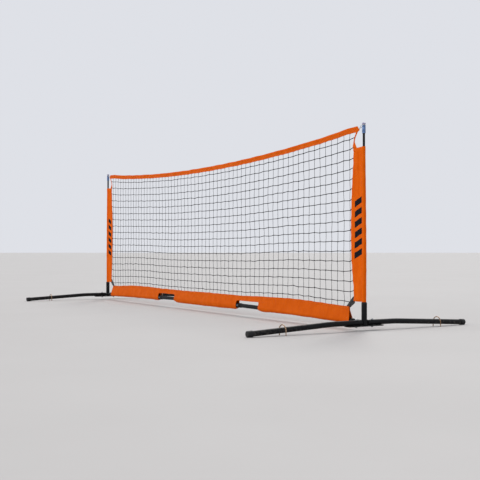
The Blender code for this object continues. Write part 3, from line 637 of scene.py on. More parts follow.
def leg(side, end, x, way):
    """Bent tube with a plug in its inner end and a ribbed cap, worn flat underneath, on its outer end."""
    body = f"leg_{side}_{end}"
    y = np.r_[LEG_START, 0.024, np.linspace(0.05, 0.150, 5), np.linspace(0.158, 0.202, 14),
              np.linspace(0.24, 0.609, 12)]
    z = leg_height(y)
    reach = 0.026
    near = np.abs(y - LEG_BEND) < reach
    t = (y[near] - LEG_BEND + reach) / (2 * reach)
    z[near] = LEG_Z + (leg_height(LEG_BEND + reach) - LEG_Z) * t * t
    tube = lids(sweep(points(x, way * y, z), LEG_R, 40), 0.0008)
    solid(tube, f"tube_{side}_{end}", "coat", body, body=body)

    slope = math.atan2(LEG_Z - LEG_END_Z, LEG_END - LEG_BEND)
    start = LEG_END - 0.026
    profile = [(0.0119, 0.0002), (0.0128, 0.0), (CAP_R - 0.0002, 0.0003), (CAP_R, 0.0012)]
    for low in (0.0036, 0.0076):
        profile += groove(CAP_R, 0.0006, low, low + 0.0018, 0.0005)
    profile += [(CAP_R, 0.0200), (CAP_R, 0.0244), (CAP_R - 0.0004, 0.0255), (CAP_R - 0.0015, CAP_LENGTH),
                (0.0032, CAP_LENGTH), (0.0026, CAP_LENGTH - 0.0006), (0, CAP_LENGTH - 0.0006)]
    axis = (0, way * math.cos(slope), -math.sin(slope))
    cap = turn(profile, (x, way * start, float(leg_height(start))), axis, 48)
    cap[..., 2] = np.maximum(cap[..., 2], 0.0)
    plug = [(0, -0.0012), (0.0085, -0.0012), (0.0098, -0.0004), (0.0098, 0.0004)]
    caps = Build().grid(cap).grid(turn(plug, (x, way * LEG_START, LEG_Z), (0, way, 0)))
    caps.piece(f"end_cap_{side}_{end}", "plastic", f"leg_cap_{side}_{end}", body=body)


def bolt(side, end, x, way):
    """Hexagon bolt with its washer over the leg, and the nut with the thread's end below the plate."""
    def hexagon(turned, low, high):
        corners = [(x + HEXAGON_R * math.cos(a), way * PIVOT + HEXAGON_R * math.sin(a))
                   for a in np.radians(turned + 60 * np.arange(6))]
        return slab(fillet(corners, 0.0009, 3, True), low, high, 0.0006)

    at, washer_top = (x, way * PIVOT, 0), WASHER_LOW + 0.0012
    head = Build().grid(hexagon(12, washer_top, 0.0536))
    head.grid(turn(fillet([(0.0031, WASHER_LOW), (0.0066, WASHER_LOW), (0.0066, washer_top - 0.0002),
                           (0.0031, washer_top)], 0.0003), at))
    head.grid(turn([(0.0030, 0.0530), (0.0026, 0.0537), (0.0018, 0.0539), (0, 0.0539)], at, sides=20))
    low = PLATE_LOW - 0.0056
    thread = [(0.0029 if k % 2 else 0.0025, low + k * 0.0004) for k in range(14)]
    head.grid(turn([(0, low - 0.0003), (0.0023, low - 0.0003)] + thread, at, sides=20))
    head.piece(f"bolt_{side}_{end}", "zinc", f"pivot_bolt_{side}_{end}")
    nut = hexagon(40, PLATE_LOW - 0.0049, PLATE_LOW - 0.0003)
    solid(nut, f"nut_{side}_{end}", "zinc", f"pivot_nut_{side}_{end}")


def peg(side, end, x, way):
    """A hand-bent hoop of wire, cut off at ground level."""
    spring = PEG_CROWN - PEG_HALF
    straight = np.linspace(0, spring, 6)[:-1]
    arch = np.linspace(0, math.pi, 33)
    px = np.r_[np.full(5, PEG_HALF), PEG_HALF * np.cos(arch), np.full(5, -PEG_HALF)]
    pz = np.r_[straight, spring + PEG_HALF * np.sin(arch), straight[::-1]]
    lean = 0.0010 * np.sin(np.linspace(0, 7, len(px)) + way + x)
    rings = sweep(points(x + px, way * PEG_AT + lean, pz), PEG_R, 14, (0, 1, 0))
    rings[..., 2] = np.maximum(rings[..., 2], 0.0)
    solid(rings, f"hoop_{side}_{end}", "wire", f"ground_peg_{side}_{end}", body=f"peg_{side}_{end}")


# ---------------------------------------------------------------- posts
def socket(side, sign):
    """Upright tube with its plastic bush, and the stub with its weld that the rail plugs onto."""
    x, base, foot, stem = sign * SPAN, (sign * SPAN, 0, 0), 0.0242, 0.062
    wall = [(SOCKET_BORE, foot), (SOCKET_R, foot), (SOCKET_R, SOCKET_TOP), (SOCKET_BORE, SOCKET_TOP),
            (SOCKET_BORE, 0.060)]
    wall = turn(fillet(wall, 0.0006), base, sides=48)
    solid(wall, f"socket_{side}", "coat", f"upright_socket_{side}")
    inside, lip = SOCKET_BORE - 0.0004, SOCKET_TOP + 0.0002
    bush = [(inside, stem), (inside, lip), (SOCKET_R + 0.0003, lip), (SOCKET_R + 0.0006, 0.1238),
            (0.0104, BUSH_TOP), (0.0068, BUSH_TOP), (0.0060, BUSH_TOP - 0.001), (0.0060, stem)]
    bush = turn(fillet(bush, 0.0016, 5), base, sides=48)
    solid(bush, f"bush_{side}", "plastic", f"socket_bush_{side}")

    slope = (rail_z(RAIL_END) - rail_z(STUB_END)) / (RAIL_END - STUB_END)
    along = np.array([SPAN - 0.0118, 1.45, 1.40, STUB_END])
    z = rail_z(RAIL_END) + slope * (along - RAIL_END)
    stub = Build().grid(lids(sweep(points(sign * along, 0, z), STUB_R, 32), 0.0006, start=False))
    angle, around = circle(80), STUB_R + 0.0002
    touch = np.sqrt(SOCKET_R ** 2 - (around * np.cos(angle)) ** 2)
    weld = points(x - sign * touch, around * np.cos(angle), z[0] + around * np.sin(angle))
    stub.grid(sweep(weld, 0.0013 + 0.0002 * np.cos(angle * 18), 8, (1, 0, 0), closed=True))
    stub.piece(f"stub_{side}", "coat", f"rail_stub_{side}")


def pole(side, sign):
    """Rod, grooved ferrule with its neck, and mushroom cap."""
    x, base, body, neck_top = sign * SPAN, (sign * SPAN, 0, 0), f"pole_{side}", 0.9244
    rod = lids(sweep(points(x, 0, np.linspace(ROD_LOW, ROD_TOP, 24)), ROD_R, 32, (0, 1, 0)), 0.0006)
    solid(rod, f"rod_{side}", "rod", f"pole_rod_{side}", body=body)
    ferrule = [(0.0057, FERRULE_LOW + 0.0002), (FERRULE_R - 0.0002, FERRULE_LOW),
               (FERRULE_R, FERRULE_LOW + 0.0008)]
    ferrule += groove(FERRULE_R, 0.0006, 0.8905, 0.8925, 0.0005)
    ferrule += groove(FERRULE_R, 0.0007, 0.9130, 0.9156, 0.0006)
    ferrule += [(FERRULE_R, FERRULE_TOP - 0.0008), (FERRULE_R - 0.0010, FERRULE_TOP),
                (NECK_R + 0.0004, FERRULE_TOP), (NECK_R, FERRULE_TOP + 0.0004), (NECK_R, neck_top),
                (0, neck_top)]
    ferrule = turn(fillet(ferrule, 0.0003, 2), base, sides=40)
    solid(ferrule, f"ferrule_{side}", "ferrule", f"pole_ferrule_{side}", body=body)
    low = neck_top + 0.0002
    mushroom = [(0.0036, low), (0.0070, low), (0.0082, 0.9256), (0.0083, 0.9290), (0.0078, 0.9305),
                (0.0066, 0.9323), (0.0046, 0.9334), (0.0022, 0.9339), (0, POST_TOP)]
    mushroom = turn(fillet(mushroom, 0.0006, 3), base, sides=40)
    solid(mushroom, f"mushroom_{side}", "cap", f"pole_cap_{side}", body=body)


def top_loop(side, sign):
    """Cord from round the ferrule's neck to the tip of the top tape."""
    neck_z, tip_z = 0.92275, 0.9110
    around, small = NECK_R + CORD_R + 0.0006, CORD_R + 0.0003
    leave, tip_x = 0.0115, 0.0312 - small
    neck = [(around * math.cos(a), around * math.sin(a), neck_z) for a in np.linspace(-1.5, 1.5, 15)]
    strand = [(-leave + (leave - tip_x) * t, around + (small - around) * t - 0.0004 * math.sin(math.pi * t),
               neck_z + (tip_z - neck_z) * t - 0.0012 * math.sin(math.pi * t)) for t in np.linspace(0, 1, 14)]
    tip = [(-tip_x + small * math.cos(a), small * math.sin(a), tip_z) for a in np.linspace(2.1, 4.18, 6)]
    path = neck + strand + tip + [(p, -q, r) for p, q, r in strand[::-1]]
    path = np.array([(sign * (SPAN + p), q, r) for p, q, r in path])
    for _ in range(2):
        path = (np.roll(path, 1, 0) + 2 * path + np.roll(path, -1, 0)) / 4
    rings = sweep(path, CORD_R, 12, closed=True)
    loop = solid(rings, f"cord_loop_{side}", "cord", f"top_loop_{side}", body=None)
    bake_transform(loop)


# ---------------------------------------------------------------- rail
def rail():
    """Three tubes, and at each joint the collar with its sprung button."""
    tubes, spans = {}, (("right", 0.375, RAIL_END), ("centre", -0.625, 0.3725), ("left", -RAIL_END, -0.6275))
    for name, low, high in spans:
        rings = lids(sweep(rail_line(np.linspace(low, high, 40)), RAIL_R, 36), 0.0005)
        tubes[name] = solid(rings, f"rail_{name}", "coat", f"rail_tube_{name}")
    for (side, end), held in zip(JOINTS, ("right", "centre")):
        back = np.r_[COLLAR_LENGTH, 0.089, 0.086, 0.083, np.linspace(0.078, 0.006, 16), 0.0042, 0.003,
                     0.0012, 0]
        radius = np.full(len(back), COLLAR_R)
        radius[:3] -= 0.0015, 0.0010, 0.0003
        radius[-3:] += 0.0004, 0.0005, 0.0002
        rings = lids(sweep(rail_line(end - back), radius, 44), 0.0003)
        collar = solid(rings, f"collar_{side}", "coat", f"rail_collar_{side}")
        at = end - BUTTON_BACK
        base = (at, 0, float(rail_z(at)))
        for drilled in (collar, tubes[held]):
            drill(drilled, base)
        button(side, base)
        leaf_spring(side, base)


def button(side, base):
    """Domed button, and the rim of the hole that it stands in."""
    low, high = 0.0118, 0.0130
    rim = [(BUTTON_HOLE_R, low), (BUTTON_HOLE_R, high), (0.0056, high), (0.0060, low)]
    solid(turn(fillet(rim, 0.0004), base, (0, -1, 0)), f"button_rim_{side}", "coat")
    dome = [(0.0052, 0.0068), (0.0052, 0.0078), (0.0038, 0.0079), (0.0038, 0.0131), (0.0036, 0.0138),
            (0.0030, 0.0146), (0.0019, 0.0151), (0, 0.0152)]
    dome = turn(dome, base, (0, -1, 0))
    solid(dome, f"button_dome_{side}", "button", f"snap_button_{side}", body=f"button_{side}")


def drill(obj, base):
    """The button's hole into a piece, from its front to behind the dome."""
    middle, depth = -0.0145, 0.0130
    pose = Matrix.Translation((base[0], middle, base[2])) @ Matrix.Rotation(math.pi / 2, 4, "X")
    shape = bmesh.new()
    bmesh.ops.create_cone(shape, cap_ends=True, segments=32, radius1=BUTTON_HOLE_R, radius2=BUTTON_HOLE_R,
                          depth=depth, matrix=pose)
    cutter = place("drill", bpy.data.meshes.new("drill"))
    shape.to_mesh(cutter.data)
    shape.free()
    cut = obj.modifiers.new("Button hole", "BOOLEAN")
    cut.object, cut.operation, cut.solver = cutter, "DIFFERENCE", "EXACT"
    drilled = bpy.data.meshes.new_from_object(obj.evaluated_get(bpy.context.evaluated_depsgraph_get()))
    obj.modifiers.clear()
    obj.data = drilled
    drilled.set_sharp_from_angle(angle=math.radians(40))
    bpy.data.objects.remove(cutter)


def leaf_spring(side, base):
    """The bent leaf behind a button, inside the tube."""
    front, back, bend = -0.0062, 0.0089, np.radians(np.linspace(250, 110, 9))
    line = [(0.005, front, 0), (-0.004, front, 0)]
    line += [(-0.022 + 0.0022 * math.cos(a), 0.001 + 0.0022 * math.sin(a), 0) for a in bend]
    line = fillet(line + [(-0.008, back, 0), (0.006, back, 0)], 0.0012, 4)
    way = unit(np.gradient(line, axis=0))
    across = points(-way[:, 1], way[:, 0], 0)
    section = [(-0.0003, -0.0023), (-0.0002, -0.0025), (0.0002, -0.0025), (0.0003, -0.0023)]
    section += [(-a, -b) for a, b in section]
    rings = np.stack([line + across * a + (0, 0, b) for a, b in section], 1) + base
    leaf = solid(lids(rings, 0.0001), f"leaf_{side}", "zinc", f"snap_spring_{side}")
    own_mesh(leaf)


# ---------------------------------------------------------------- top tape
TAPE_SEAMS = (-0.66, -0.02)     # its two lines of stitches, as shares of its half height


def tape_surface(x, t):
    """A point of the tape: t runs round its section, 0 and 1 at the bottom fold, 0.5 at the top."""
    x, t = paired(x, t)
    beyond = ease((np.abs(x) - TAPE_END + 0.0012) / (TAPE_TIP - TAPE_END + 0.0012)) ** 0.8
    half = TAPE_HALF - 0.0003 + (0.0042 - TAPE_HALF) * beyond
    c, s = -np.cos(TAU * t), np.sin(TAU * t)
    cord = (CORD_LIFT - tape_bump(x)) / TAPE_HALF
    thick = 0.00125 + 0.00135 * bell(c - cord, 0.30) * (1 - 0.5 * beyond)
    for line in TAPE_SEAMS:
        thick = thick - 0.00035 * bell(c - line, 0.07)
    front = np.sign(s) * np.abs(s) ** 0.35
    pucker = 0.00022 * ripple(x, c * 0.014, 0.010, 0.020, 11) * (1 + bell(c - TAPE_SEAMS[0], 0.2))
    y = -front * (thick + pucker) + tape_drift(x, c) * (1 - beyond)
    column = (x + SPAN - FIRST_COLUMN) / CELL
    pull = 0.0005 * np.cos(TAU * column) * ease(-c) + 0.0004 * ripple(x, 0, 0.12, 1, 14)
    z = tape_z(x) - 0.0050 * beyond + half * c - pull * (1 - beyond)
    return points(x, y, z)


def top_tape():
    """The folded tape with pointed ends, its stitches and the cord inside it."""
    inner = np.linspace(-TAPE_END + 0.002, TAPE_END - 0.002, 560)
    edge = np.linspace(TAPE_END - 0.001, TAPE_TIP, 14)
    x = np.r_[-edge[::-1], inner, edge]
    t = np.arange(40) / 40
    tape = Build().grid(tape_surface(x[:, None], t[None]))
    tape = tape.piece("tape_cloth", "tape", "top_tape", 75, thickness=0.0006)
    threads = Build()
    run = np.linspace(-TAPE_END + 0.004, TAPE_END - 0.004, 900)
    for c in TAPE_SEAMS:
        t = math.acos(-c) / TAU
        for around in (t, 1 - t):
            seam(threads, tape_surface, run, around)
    threads = threads.piece("tape_stitches", "thread")

    x = np.linspace(-1.4451, 1.4451, 240)
    lift = CORD_LIFT - tape_bump(x)
    cord = sweep(points(x, tape_drift(x, lift / TAPE_HALF), tape_z(x) + lift), CORD_R, 10)
    solid(lids(cord, 0.0003), "cord_inside_tape", "hidden_cord", "headline_cord")


# ---------------------------------------------------------------- bottom band
ARC, HALF_WRAP = 0.285, 0.085         # share of the half section round the rail; half section, metres
WINDOW_T, CORNER = 0.617, 0.013


def end_pull(t):
    """How far the band's open ends draw back from its bottom fold, on its front and on its rear layer."""
    return np.where(t < 0, 0.014 * np.abs(t) ** 1.6, 0.0095 * ease(t / 0.3))


def window_distance(x, t):
    """Distance on the cloth from the nearer window's edge, negative inside it."""
    s, best = np.abs(t) * HALF_WRAP, None
    for low, high in WINDOWS:
        px = np.abs(x - (low + high) / 2) - (high - low) / 2 + CORNER
        ps = s - WINDOW_T * HALF_WRAP + CORNER
        gap = np.hypot(np.maximum(px, 0), np.maximum(ps, 0)) + np.minimum(np.maximum(px, ps), 0) - CORNER
        best = gap if best is None else np.minimum(best, gap)
    return best


def band_surface(x, t):
    """A point of the band: t is -1 at its top edge in front, 0 under the rail, 1 at its top edge behind."""
    x, t = paired(x, t)
    m, s = np.abs(t), t * HALF_WRAP
    near_end = ease((np.abs(x) - 1.355) / 0.055)
    rise = np.clip((m - ARC) / (1 - ARC), 0, 1)
    body = np.sin(np.clip(rise / 0.86, 0, 1) * math.pi)
    crease = (0.95 * ripple(x, s, 0.130, 0.16, 21) + 0.30 * ripple(x, s, 0.050, 0.08, 22)
              + 0.12 * ripple(x, s, 0.020, 0.03, 23)) * 0.001
    drag = 0.0
    for corner, way in zip(WINDOW_ENDS, (-1, 1, -1, 1)):
        dx, dz = (x - corner) * way, (m - WINDOW_T) * HALF_WRAP
        beside = np.maximum(dx, 0) + 0.004
        fan = np.cos(np.arctan2(dz, beside) * 7 + corner)
        drag = drag + 0.0010 * fan * np.exp(-np.hypot(beside, dz) / 0.05) * (dx > 0) * ease(dx / 0.01)
    hem = 0.00045 * (1 - ease((window_distance(x, t) - 0.0085) / 0.0012))
    hem = hem + 0.00045 * ease((np.abs(x) - BAND_END + 0.0205 + end_pull(t)) / 0.0012)
    hem = hem + 0.00035 * ease((rise - 0.80) / 0.015)
    stitch = 0.00030 * bell(rise - 0.885, 0.022)
    pucker = 0.00030 * ripple(x, s, 0.009, 0.030, 24) * ease((rise - 0.55) / 0.4)
    loose = 0.45 + 0.9 * body * (0.6 + 0.4 * near_end)
    out = crease * loose * (1 - 0.55 * ease((rise - 0.80) / 0.2)) + drag * body + hem - stitch + pucker
    axis, top = rail_z(x), band_top(x) + 0.0006 * ripple(x, 0, 0.11, 1, 25)
    tight = BAND_R + 0.0004 * near_end
    radius = tight + out
    angle = np.clip(m / ARC, 0, 1) * math.radians(102) - math.pi / 2
    y_arc = radius * np.cos(angle)
    z_arc = axis + radius * np.sin(angle) + band_hang(x) * np.minimum(np.sin(angle), 0)
    start, wide = axis + tight * math.sin(math.radians(12)), tight * math.cos(math.radians(12))
    fall = np.clip(1 - rise / 0.86, 0, 1)
    y_up = 0.0013 + (wide - 0.0013) * fall ** 1.5 + 0.0014 * body + out
    z_up = start + (top - start) * rise
    above = m > ARC
    y = np.where(above, y_up, y_arc) * np.where(t < 0, -1.0, 1.0) + band_sway(x) * ease((m - 0.3) / 0.7)
    return points(x, y, np.where(above, z_up, z_arc))


def bottom_band():
    """One sheet folded round the rail, in sections between the windows' ends, with its stitches."""
    s_window = WINDOW_T * HALF_WRAP
    corner = (s_window - CORNER + CORNER * np.sin(np.radians(np.arange(0, 91, 10)))) / HALF_WRAP
    half = np.r_[np.linspace(0, ARC, 15), np.linspace(ARC, corner[0], 6)[1:-1], corner,
                 np.linspace(WINDOW_T, 1, 14)[1:]]
    lines = np.r_[-half[::-1], half[1:]]
    upper = half[np.isclose(half, WINDOW_T).argmax():]
    strip_lines = np.r_[upper, -upper[::-1]]
    bite = np.clip((np.abs(lines) * HALF_WRAP - s_window + CORNER) / CORNER, 0, 1)
    window_pull = np.where(np.abs(lines) < WINDOW_T - 1e-6, CORNER * np.sqrt(1 - bite ** 2), 0.0)
    band = Build()
    cuts = [(-BAND_END, end_pull(lines))]
    for low, high in WINDOWS[::-1]:
        cuts += [(low + CORNER, window_pull), (high - CORNER, window_pull)]
    cuts.append((BAND_END, end_pull(lines)))
    for k, ((low, pull_low), (high, pull_high)) in enumerate(zip(cuts, cuts[1:])):
        base = np.linspace(low, high, int((high - low) / 0.0055) + 1)[:, None]
        beside_window = k % 2 == 1
        if beside_window:
            x, t = base, strip_lines[None]
        else:
            x, t = base + pull_low[None] * ease(1 - (base - low) / 0.05), lines[None]
            x = x - pull_high[None] * ease(1 - (high - base) / 0.05)
        band.grid(band_surface(x, t), not beside_window, points(x, t * HALF_WRAP, 0)[..., :2])
    band = band.piece("band_cloth", "band", "bottom_band", 70, weld=True, thickness=0.0008)

    threads = Build()
    run = np.linspace(-1.392, 1.392, 900)
    for t in (-0.918, 0.918):
        seam(threads, band_surface, run, t, face=-1.0)
    inset = 0.006
    for low, high in WINDOWS:
        top = s_window + inset
        line = [(low - inset, 0.0), (low - inset, top), (high + inset, top), (high + inset, 0.0)]
        line = fillet(line, CORNER + inset, 10)
        line = np.concatenate([np.linspace(a, b, 12, endpoint=False) for a, b in zip(line, line[1:])])
        for way in (-1, 1):
            seam(threads, band_surface, line[:, 0], way * line[:, 1] / HALF_WRAP, face=-1.0)
    t = np.linspace(-0.90, 0.90, 200)
    for way in (-1, 1):
        seam(threads, band_surface, way * (BAND_END - end_pull(t) - 0.018), t, face=-1.0)
    threads = threads.piece("band_stitches", "thread")


# ---------------------------------------------------------------- post sleeves, borders and straps
def panel_sway(d, z, seed):
    """How far a sleeve's flat panel leaves its plane: long upright folds, and pulls from its corners."""
    loose = ease((d - 0.016) / 0.022) * (1 - 0.45 * ease((d - 0.062) / 0.02))
    folds = 1.25 * ripple(d, z, 0.030, 0.42, seed) + 0.55 * ripple(d, z, 0.020, 0.12, seed + 1)
    corner = 0.0
    for at in (SLEEVE_LOW, SLEEVE_TOP):
        dz, dd = np.abs(z - at), 0.071 - d
        corner = corner + 1.3 * np.cos(np.arctan2(dz, dd + 0.02) * 9) * np.exp(-np.hypot(dz, dd) / 0.06)
    return 0.001 * loose * (folds + corner)


def pocket_shift(z):
    """How far the net's pull and the slack of the pocket move it along the net, outward positive."""
    return -0.0020 * np.sin(math.pi * (z - 0.60) / 0.46)


def pocket_radius(z):
    """Half the width of a pocket, which tapers up the post."""
    share = (z - SLEEVE_LOW) / (SLEEVE_TOP - SLEEVE_LOW)
    return 0.0093 - 0.0011 * share + 0.00022 * ripple(z, 0, 0.06, 1, 33)


def sleeve_face(sign, seed, face):
    """The sleeve's front (-1) or rear (1) face, from distance d off the post's axis and height z."""
    def surface(d, z):
        d, z = paired(d, z)
        half = 0.0009 + 0.00045 * ease((d - panel_edge(z, sign) + 0.0095) / 0.001)
        half = half - 0.0003 * bell(d - SLEEVE_STITCH, 0.0012)
        half = half + 0.00040 * (1 - ease((np.minimum(z - SLEEVE_LOW, SLEEVE_TOP - z) - 0.011) / 0.001))
        pucker = 0.00016 * ripple(d, z, 0.02, 0.009, seed + 5) * bell(d - SLEEVE_STITCH, 0.006)
        low_corner = 0.0030 * ease((d - 0.015) / 0.06) * ease((z - 0.79) / 0.036)
        x = sign * (SPAN - d + pocket_shift(z) * (1 - ease((d - 0.015) / 0.02)))
        return points(x, face * (half + pucker) + panel_sway(d, z, seed), z - low_corner)
    return surface


def post_sleeve(side, sign):
    """One sheet: the front face, round the pole in a pocket, and the rear face, with its stitches."""
    seed = SLEEVE_SEED[sign]
    z = np.r_[SLEEVE_LOW, SLEEVE_LOW + 0.0015, np.linspace(SLEEVE_LOW + 0.004, SLEEVE_TOP - 0.004, 186),
              SLEEVE_TOP - 0.0015, SLEEVE_TOP]
    share = np.r_[0, 0.008, 0.02, 0.045, 0.075, 0.11, 0.135, 0.15, np.linspace(0.19, 1, 20)]
    edge = panel_edge(z, sign)[:, None]
    d = edge + (POCKET_SEAM - edge) * share[None]
    level = z[:, None]
    front, rear = sleeve_face(sign, seed, -1.0)(d, level), sleeve_face(sign, seed, 1.0)(d, level)
    front[:, 0, 1] = rear[:, 0, 1] = (front[:, 0, 1] + rear[:, 0, 1]) / 2
    radius = pocket_radius(z)[:, None]
    taper = np.array([[0.0138, 0.0011], [0.0117, 0.0021], [0.0090, 0.0043]])
    spoke = np.radians(np.linspace(52, 308, 27))
    pocket_d, pocket_y = (np.concatenate([0 * radius + taper[:, k], radius * bend(spoke),
                                          0 * radius + way * taper[::-1, k]], 1)
                          for k, bend, way in ((0, np.cos, 1), (1, np.sin, -1)))
    pocket = points(sign * (SPAN - pocket_d + pocket_shift(level)), -pocket_y, level)
    ring = np.concatenate([front, pocket, rear[:, :0:-1]], 1)
    first, last = d.shape[1] - 1, d.shape[1] + pocket_d.shape[1]
    girth = np.cumsum(np.linalg.norm(np.diff(ring[:, first:last + 1], axis=1), axis=2), 1)
    flat_u = d - POCKET_SEAM + HALF_GIRTH
    u = np.concatenate([flat_u, HALF_GIRTH * (1 - 2 * girth[:, :-1] / girth[:, -1:]), -flat_u[:, :0:-1]], 1)
    sleeve = Build().grid(ring, True, points(u, level, 0)[..., :2])
    sleeve = sleeve.piece(f"sleeve_{side}", "sleeve", f"post_sleeve_{side}", 75, thickness=0.0005)

    threads = Build()
    run = np.linspace(SLEEVE_LOW + 0.003, SLEEVE_TOP - 0.003, 240)
    for face in (-1.0, 1.0):
        surface = sleeve_face(sign, seed, face)
        out = face * sign
        seam(threads, surface, SLEEVE_STITCH, run, face=out)
        seam(threads, surface, panel_edge(run, sign) - 0.0065, run, face=out)
        for level in (SLEEVE_LOW + 0.0085, SLEEVE_TOP - 0.0085):
            seam(threads, surface, np.linspace(0.019, 0.066, 40), level, face=out)
        near, far, low, high = 0.058, 0.070, SLEEVE_LOW + 0.002, SLEEVE_LOW + 0.016
        seam(threads, surface, [far, near, near, far, near], [low, low, high, high, low], face=out)
    threads = threads.piece(f"sleeve_stitches_{side}", "thread")


def side_border(side, sign):
    """The narrow orange border from the tape's end, in to its waist and down into the sleeve's top corner."""
    level = np.array([0.8985, 0.8850, 0.8700, 0.8570, 0.8525, 0.8480, 0.8390, 0.8266, 0.8200])
    inner = np.array([0.0545, 0.0608, 0.0686, 0.0748, 0.0764, 0.0776, 0.0787, 0.0780, 0.0745])
    outer = np.array([0.0415, 0.0503, 0.0592, 0.0660, 0.0672, 0.0650, 0.0582, 0.0500, 0.0490])
    z = np.linspace(level[0], level[-1], 60)
    inner, outer = (np.interp(z, level[::-1], values[::-1]) for values in (inner, outer))
    for edge in (inner, inner, outer, outer):
        edge[1:-1] = (edge[:-2] + 2 * edge[1:-1] + edge[2:]) / 4
    sway = border_sway(z, sign)
    share = np.linspace(0, 1, 7)
    half = 0.0011 * np.sqrt(np.clip(1 - (2 * share - 1) ** 6, 0.02, 1))
    d = outer[:, None] + (inner - outer)[:, None] * share
    ring = two_faces(sign * (SPAN - d), sway[:, None], z[:, None], half)
    solid(lids(ring, 0.0002), f"border_{side}", "tape", f"side_border_{side}", 75)

    def surface(share, height):
        a, b, y = (np.interp(height, z[::-1], values[::-1]) for values in (inner, outer, sway))
        return points(sign * (SPAN - b - (a - b) * share), y + face * 0.0009, height)

    threads = Build()
    for face in (-1.0, 1.0):
        seam(threads, surface, 0.5, np.linspace(0.892, 0.829, 60), face=-face * sign)
    threads.piece(f"border_stitches_{side}", "thread")


def corner_strap(side, sign):
    """Black webbing from inside the sleeve's foot down to the band's top edge."""
    t = np.linspace(0, 1, 34)
    upper = np.stack([np.interp(t, (0, 0.22, 1), values)
                      for values in ((0.0660, 0.0800, 0.1360), (0.1500, 0.1490, 0.0965))], 1)
    lower = np.stack([np.interp(t, (0, 1), values) for values in ((0.0660, 0.1030), (0.1200, 0.0965))], 1)
    share = np.linspace(0, 1, 9)
    d, z = np.moveaxis(lower[:, None] + (upper - lower)[:, None] * share[:, None], -1, 0)
    half = 0.0009 * np.sqrt(np.clip(1 - (2 * share - 1) ** 8, 0.05, 1))
    bow = (0.0010 * np.sin(math.pi * t) + 0.0006 * np.sin(t * 9))[:, None]
    ring = two_faces(sign * (SPAN - d), bow, z, half)
    solid(lids(ring, 0.0002), f"strap_{side}", "webbing", f"corner_strap_{side}", 75)


# ---------------------------------------------------------------- net
def strand(points, bulge, rng):
    """A twine through a line of knots, slightly loose between them."""
    points, made = np.array(points, float), []
    for a, b in zip(points, points[1:]):
        way = bulge * rng.normal(0, 1, 3)
        made += [a + (b - a) * t + way * math.sin(math.pi * t) for t in (0, 0.10, 0.34, 0.66, 0.90)]
    return np.array(made + [points[-1]])


def twines(lines, bulge, radius, up, rng):
    """All the strands of one direction, slightly uneven in thickness."""
    build = Build()
    for points in lines:
        path = strand(points, np.array(bulge), rng)
        build.grid(sweep(path, radius * (1 + 0.05 * np.sin(np.arange(len(path)) * 1.7)), 6, up))
    return build


def row_end(sign, z, last):
    """Where a level strand ends: in the strap's corner, the sleeve's edge or the side border."""
    if last:
        d, y, z = 0.0745, 0.0, z - 0.004
    elif z < SLEEVE_TOP:
        d = float(panel_edge(z, sign)) - 0.002
        y = float(panel_sway(d, z, SLEEVE_SEED[sign]))
    else:
        d, y = np.interp(z, [0.8266, 0.855, 0.894], [0.076, 0.0735, 0.0545]), border_sway(z, sign)
    return sign * (SPAN - d), y, z


def knots(spots, rng):
    """A small trefoil knot of twine at each spot, turned and sized at random."""
    angle = circle(19)
    curve = 0.00086 * np.stack([(2 + np.cos(3 * angle)) * np.cos(2 * angle), 0.75 * np.sin(3 * angle),
                                (2 + np.cos(3 * angle)) * np.sin(2 * angle)], 1)
    grids = []
    for spot in spots:
        spin, size = rng.uniform(0, TAU), rng.uniform(0.92, 1.12)
        cs, sn = math.cos(spin), math.sin(spin)
        path = curve @ np.array([[cs, 0, sn], [0, 1, 0], [-sn, 0, cs]])
        tangent = unit(np.roll(path, -1, 0) - np.roll(path, 1, 0))
        lift = unit(path - tangent * (path * tangent).sum(1, keepdims=True))
        across = np.cross(tangent, lift)
        ring = [lift * math.cos(a) + across * math.sin(a) for a in np.arange(5) * TAU / 5]
        rings = path[:, None] * size + np.stack(ring, 1) * 0.00110
        grids.append(np.concatenate([rings, rings[:1]]) + spot)
    return Build().copies(np.array(grids))


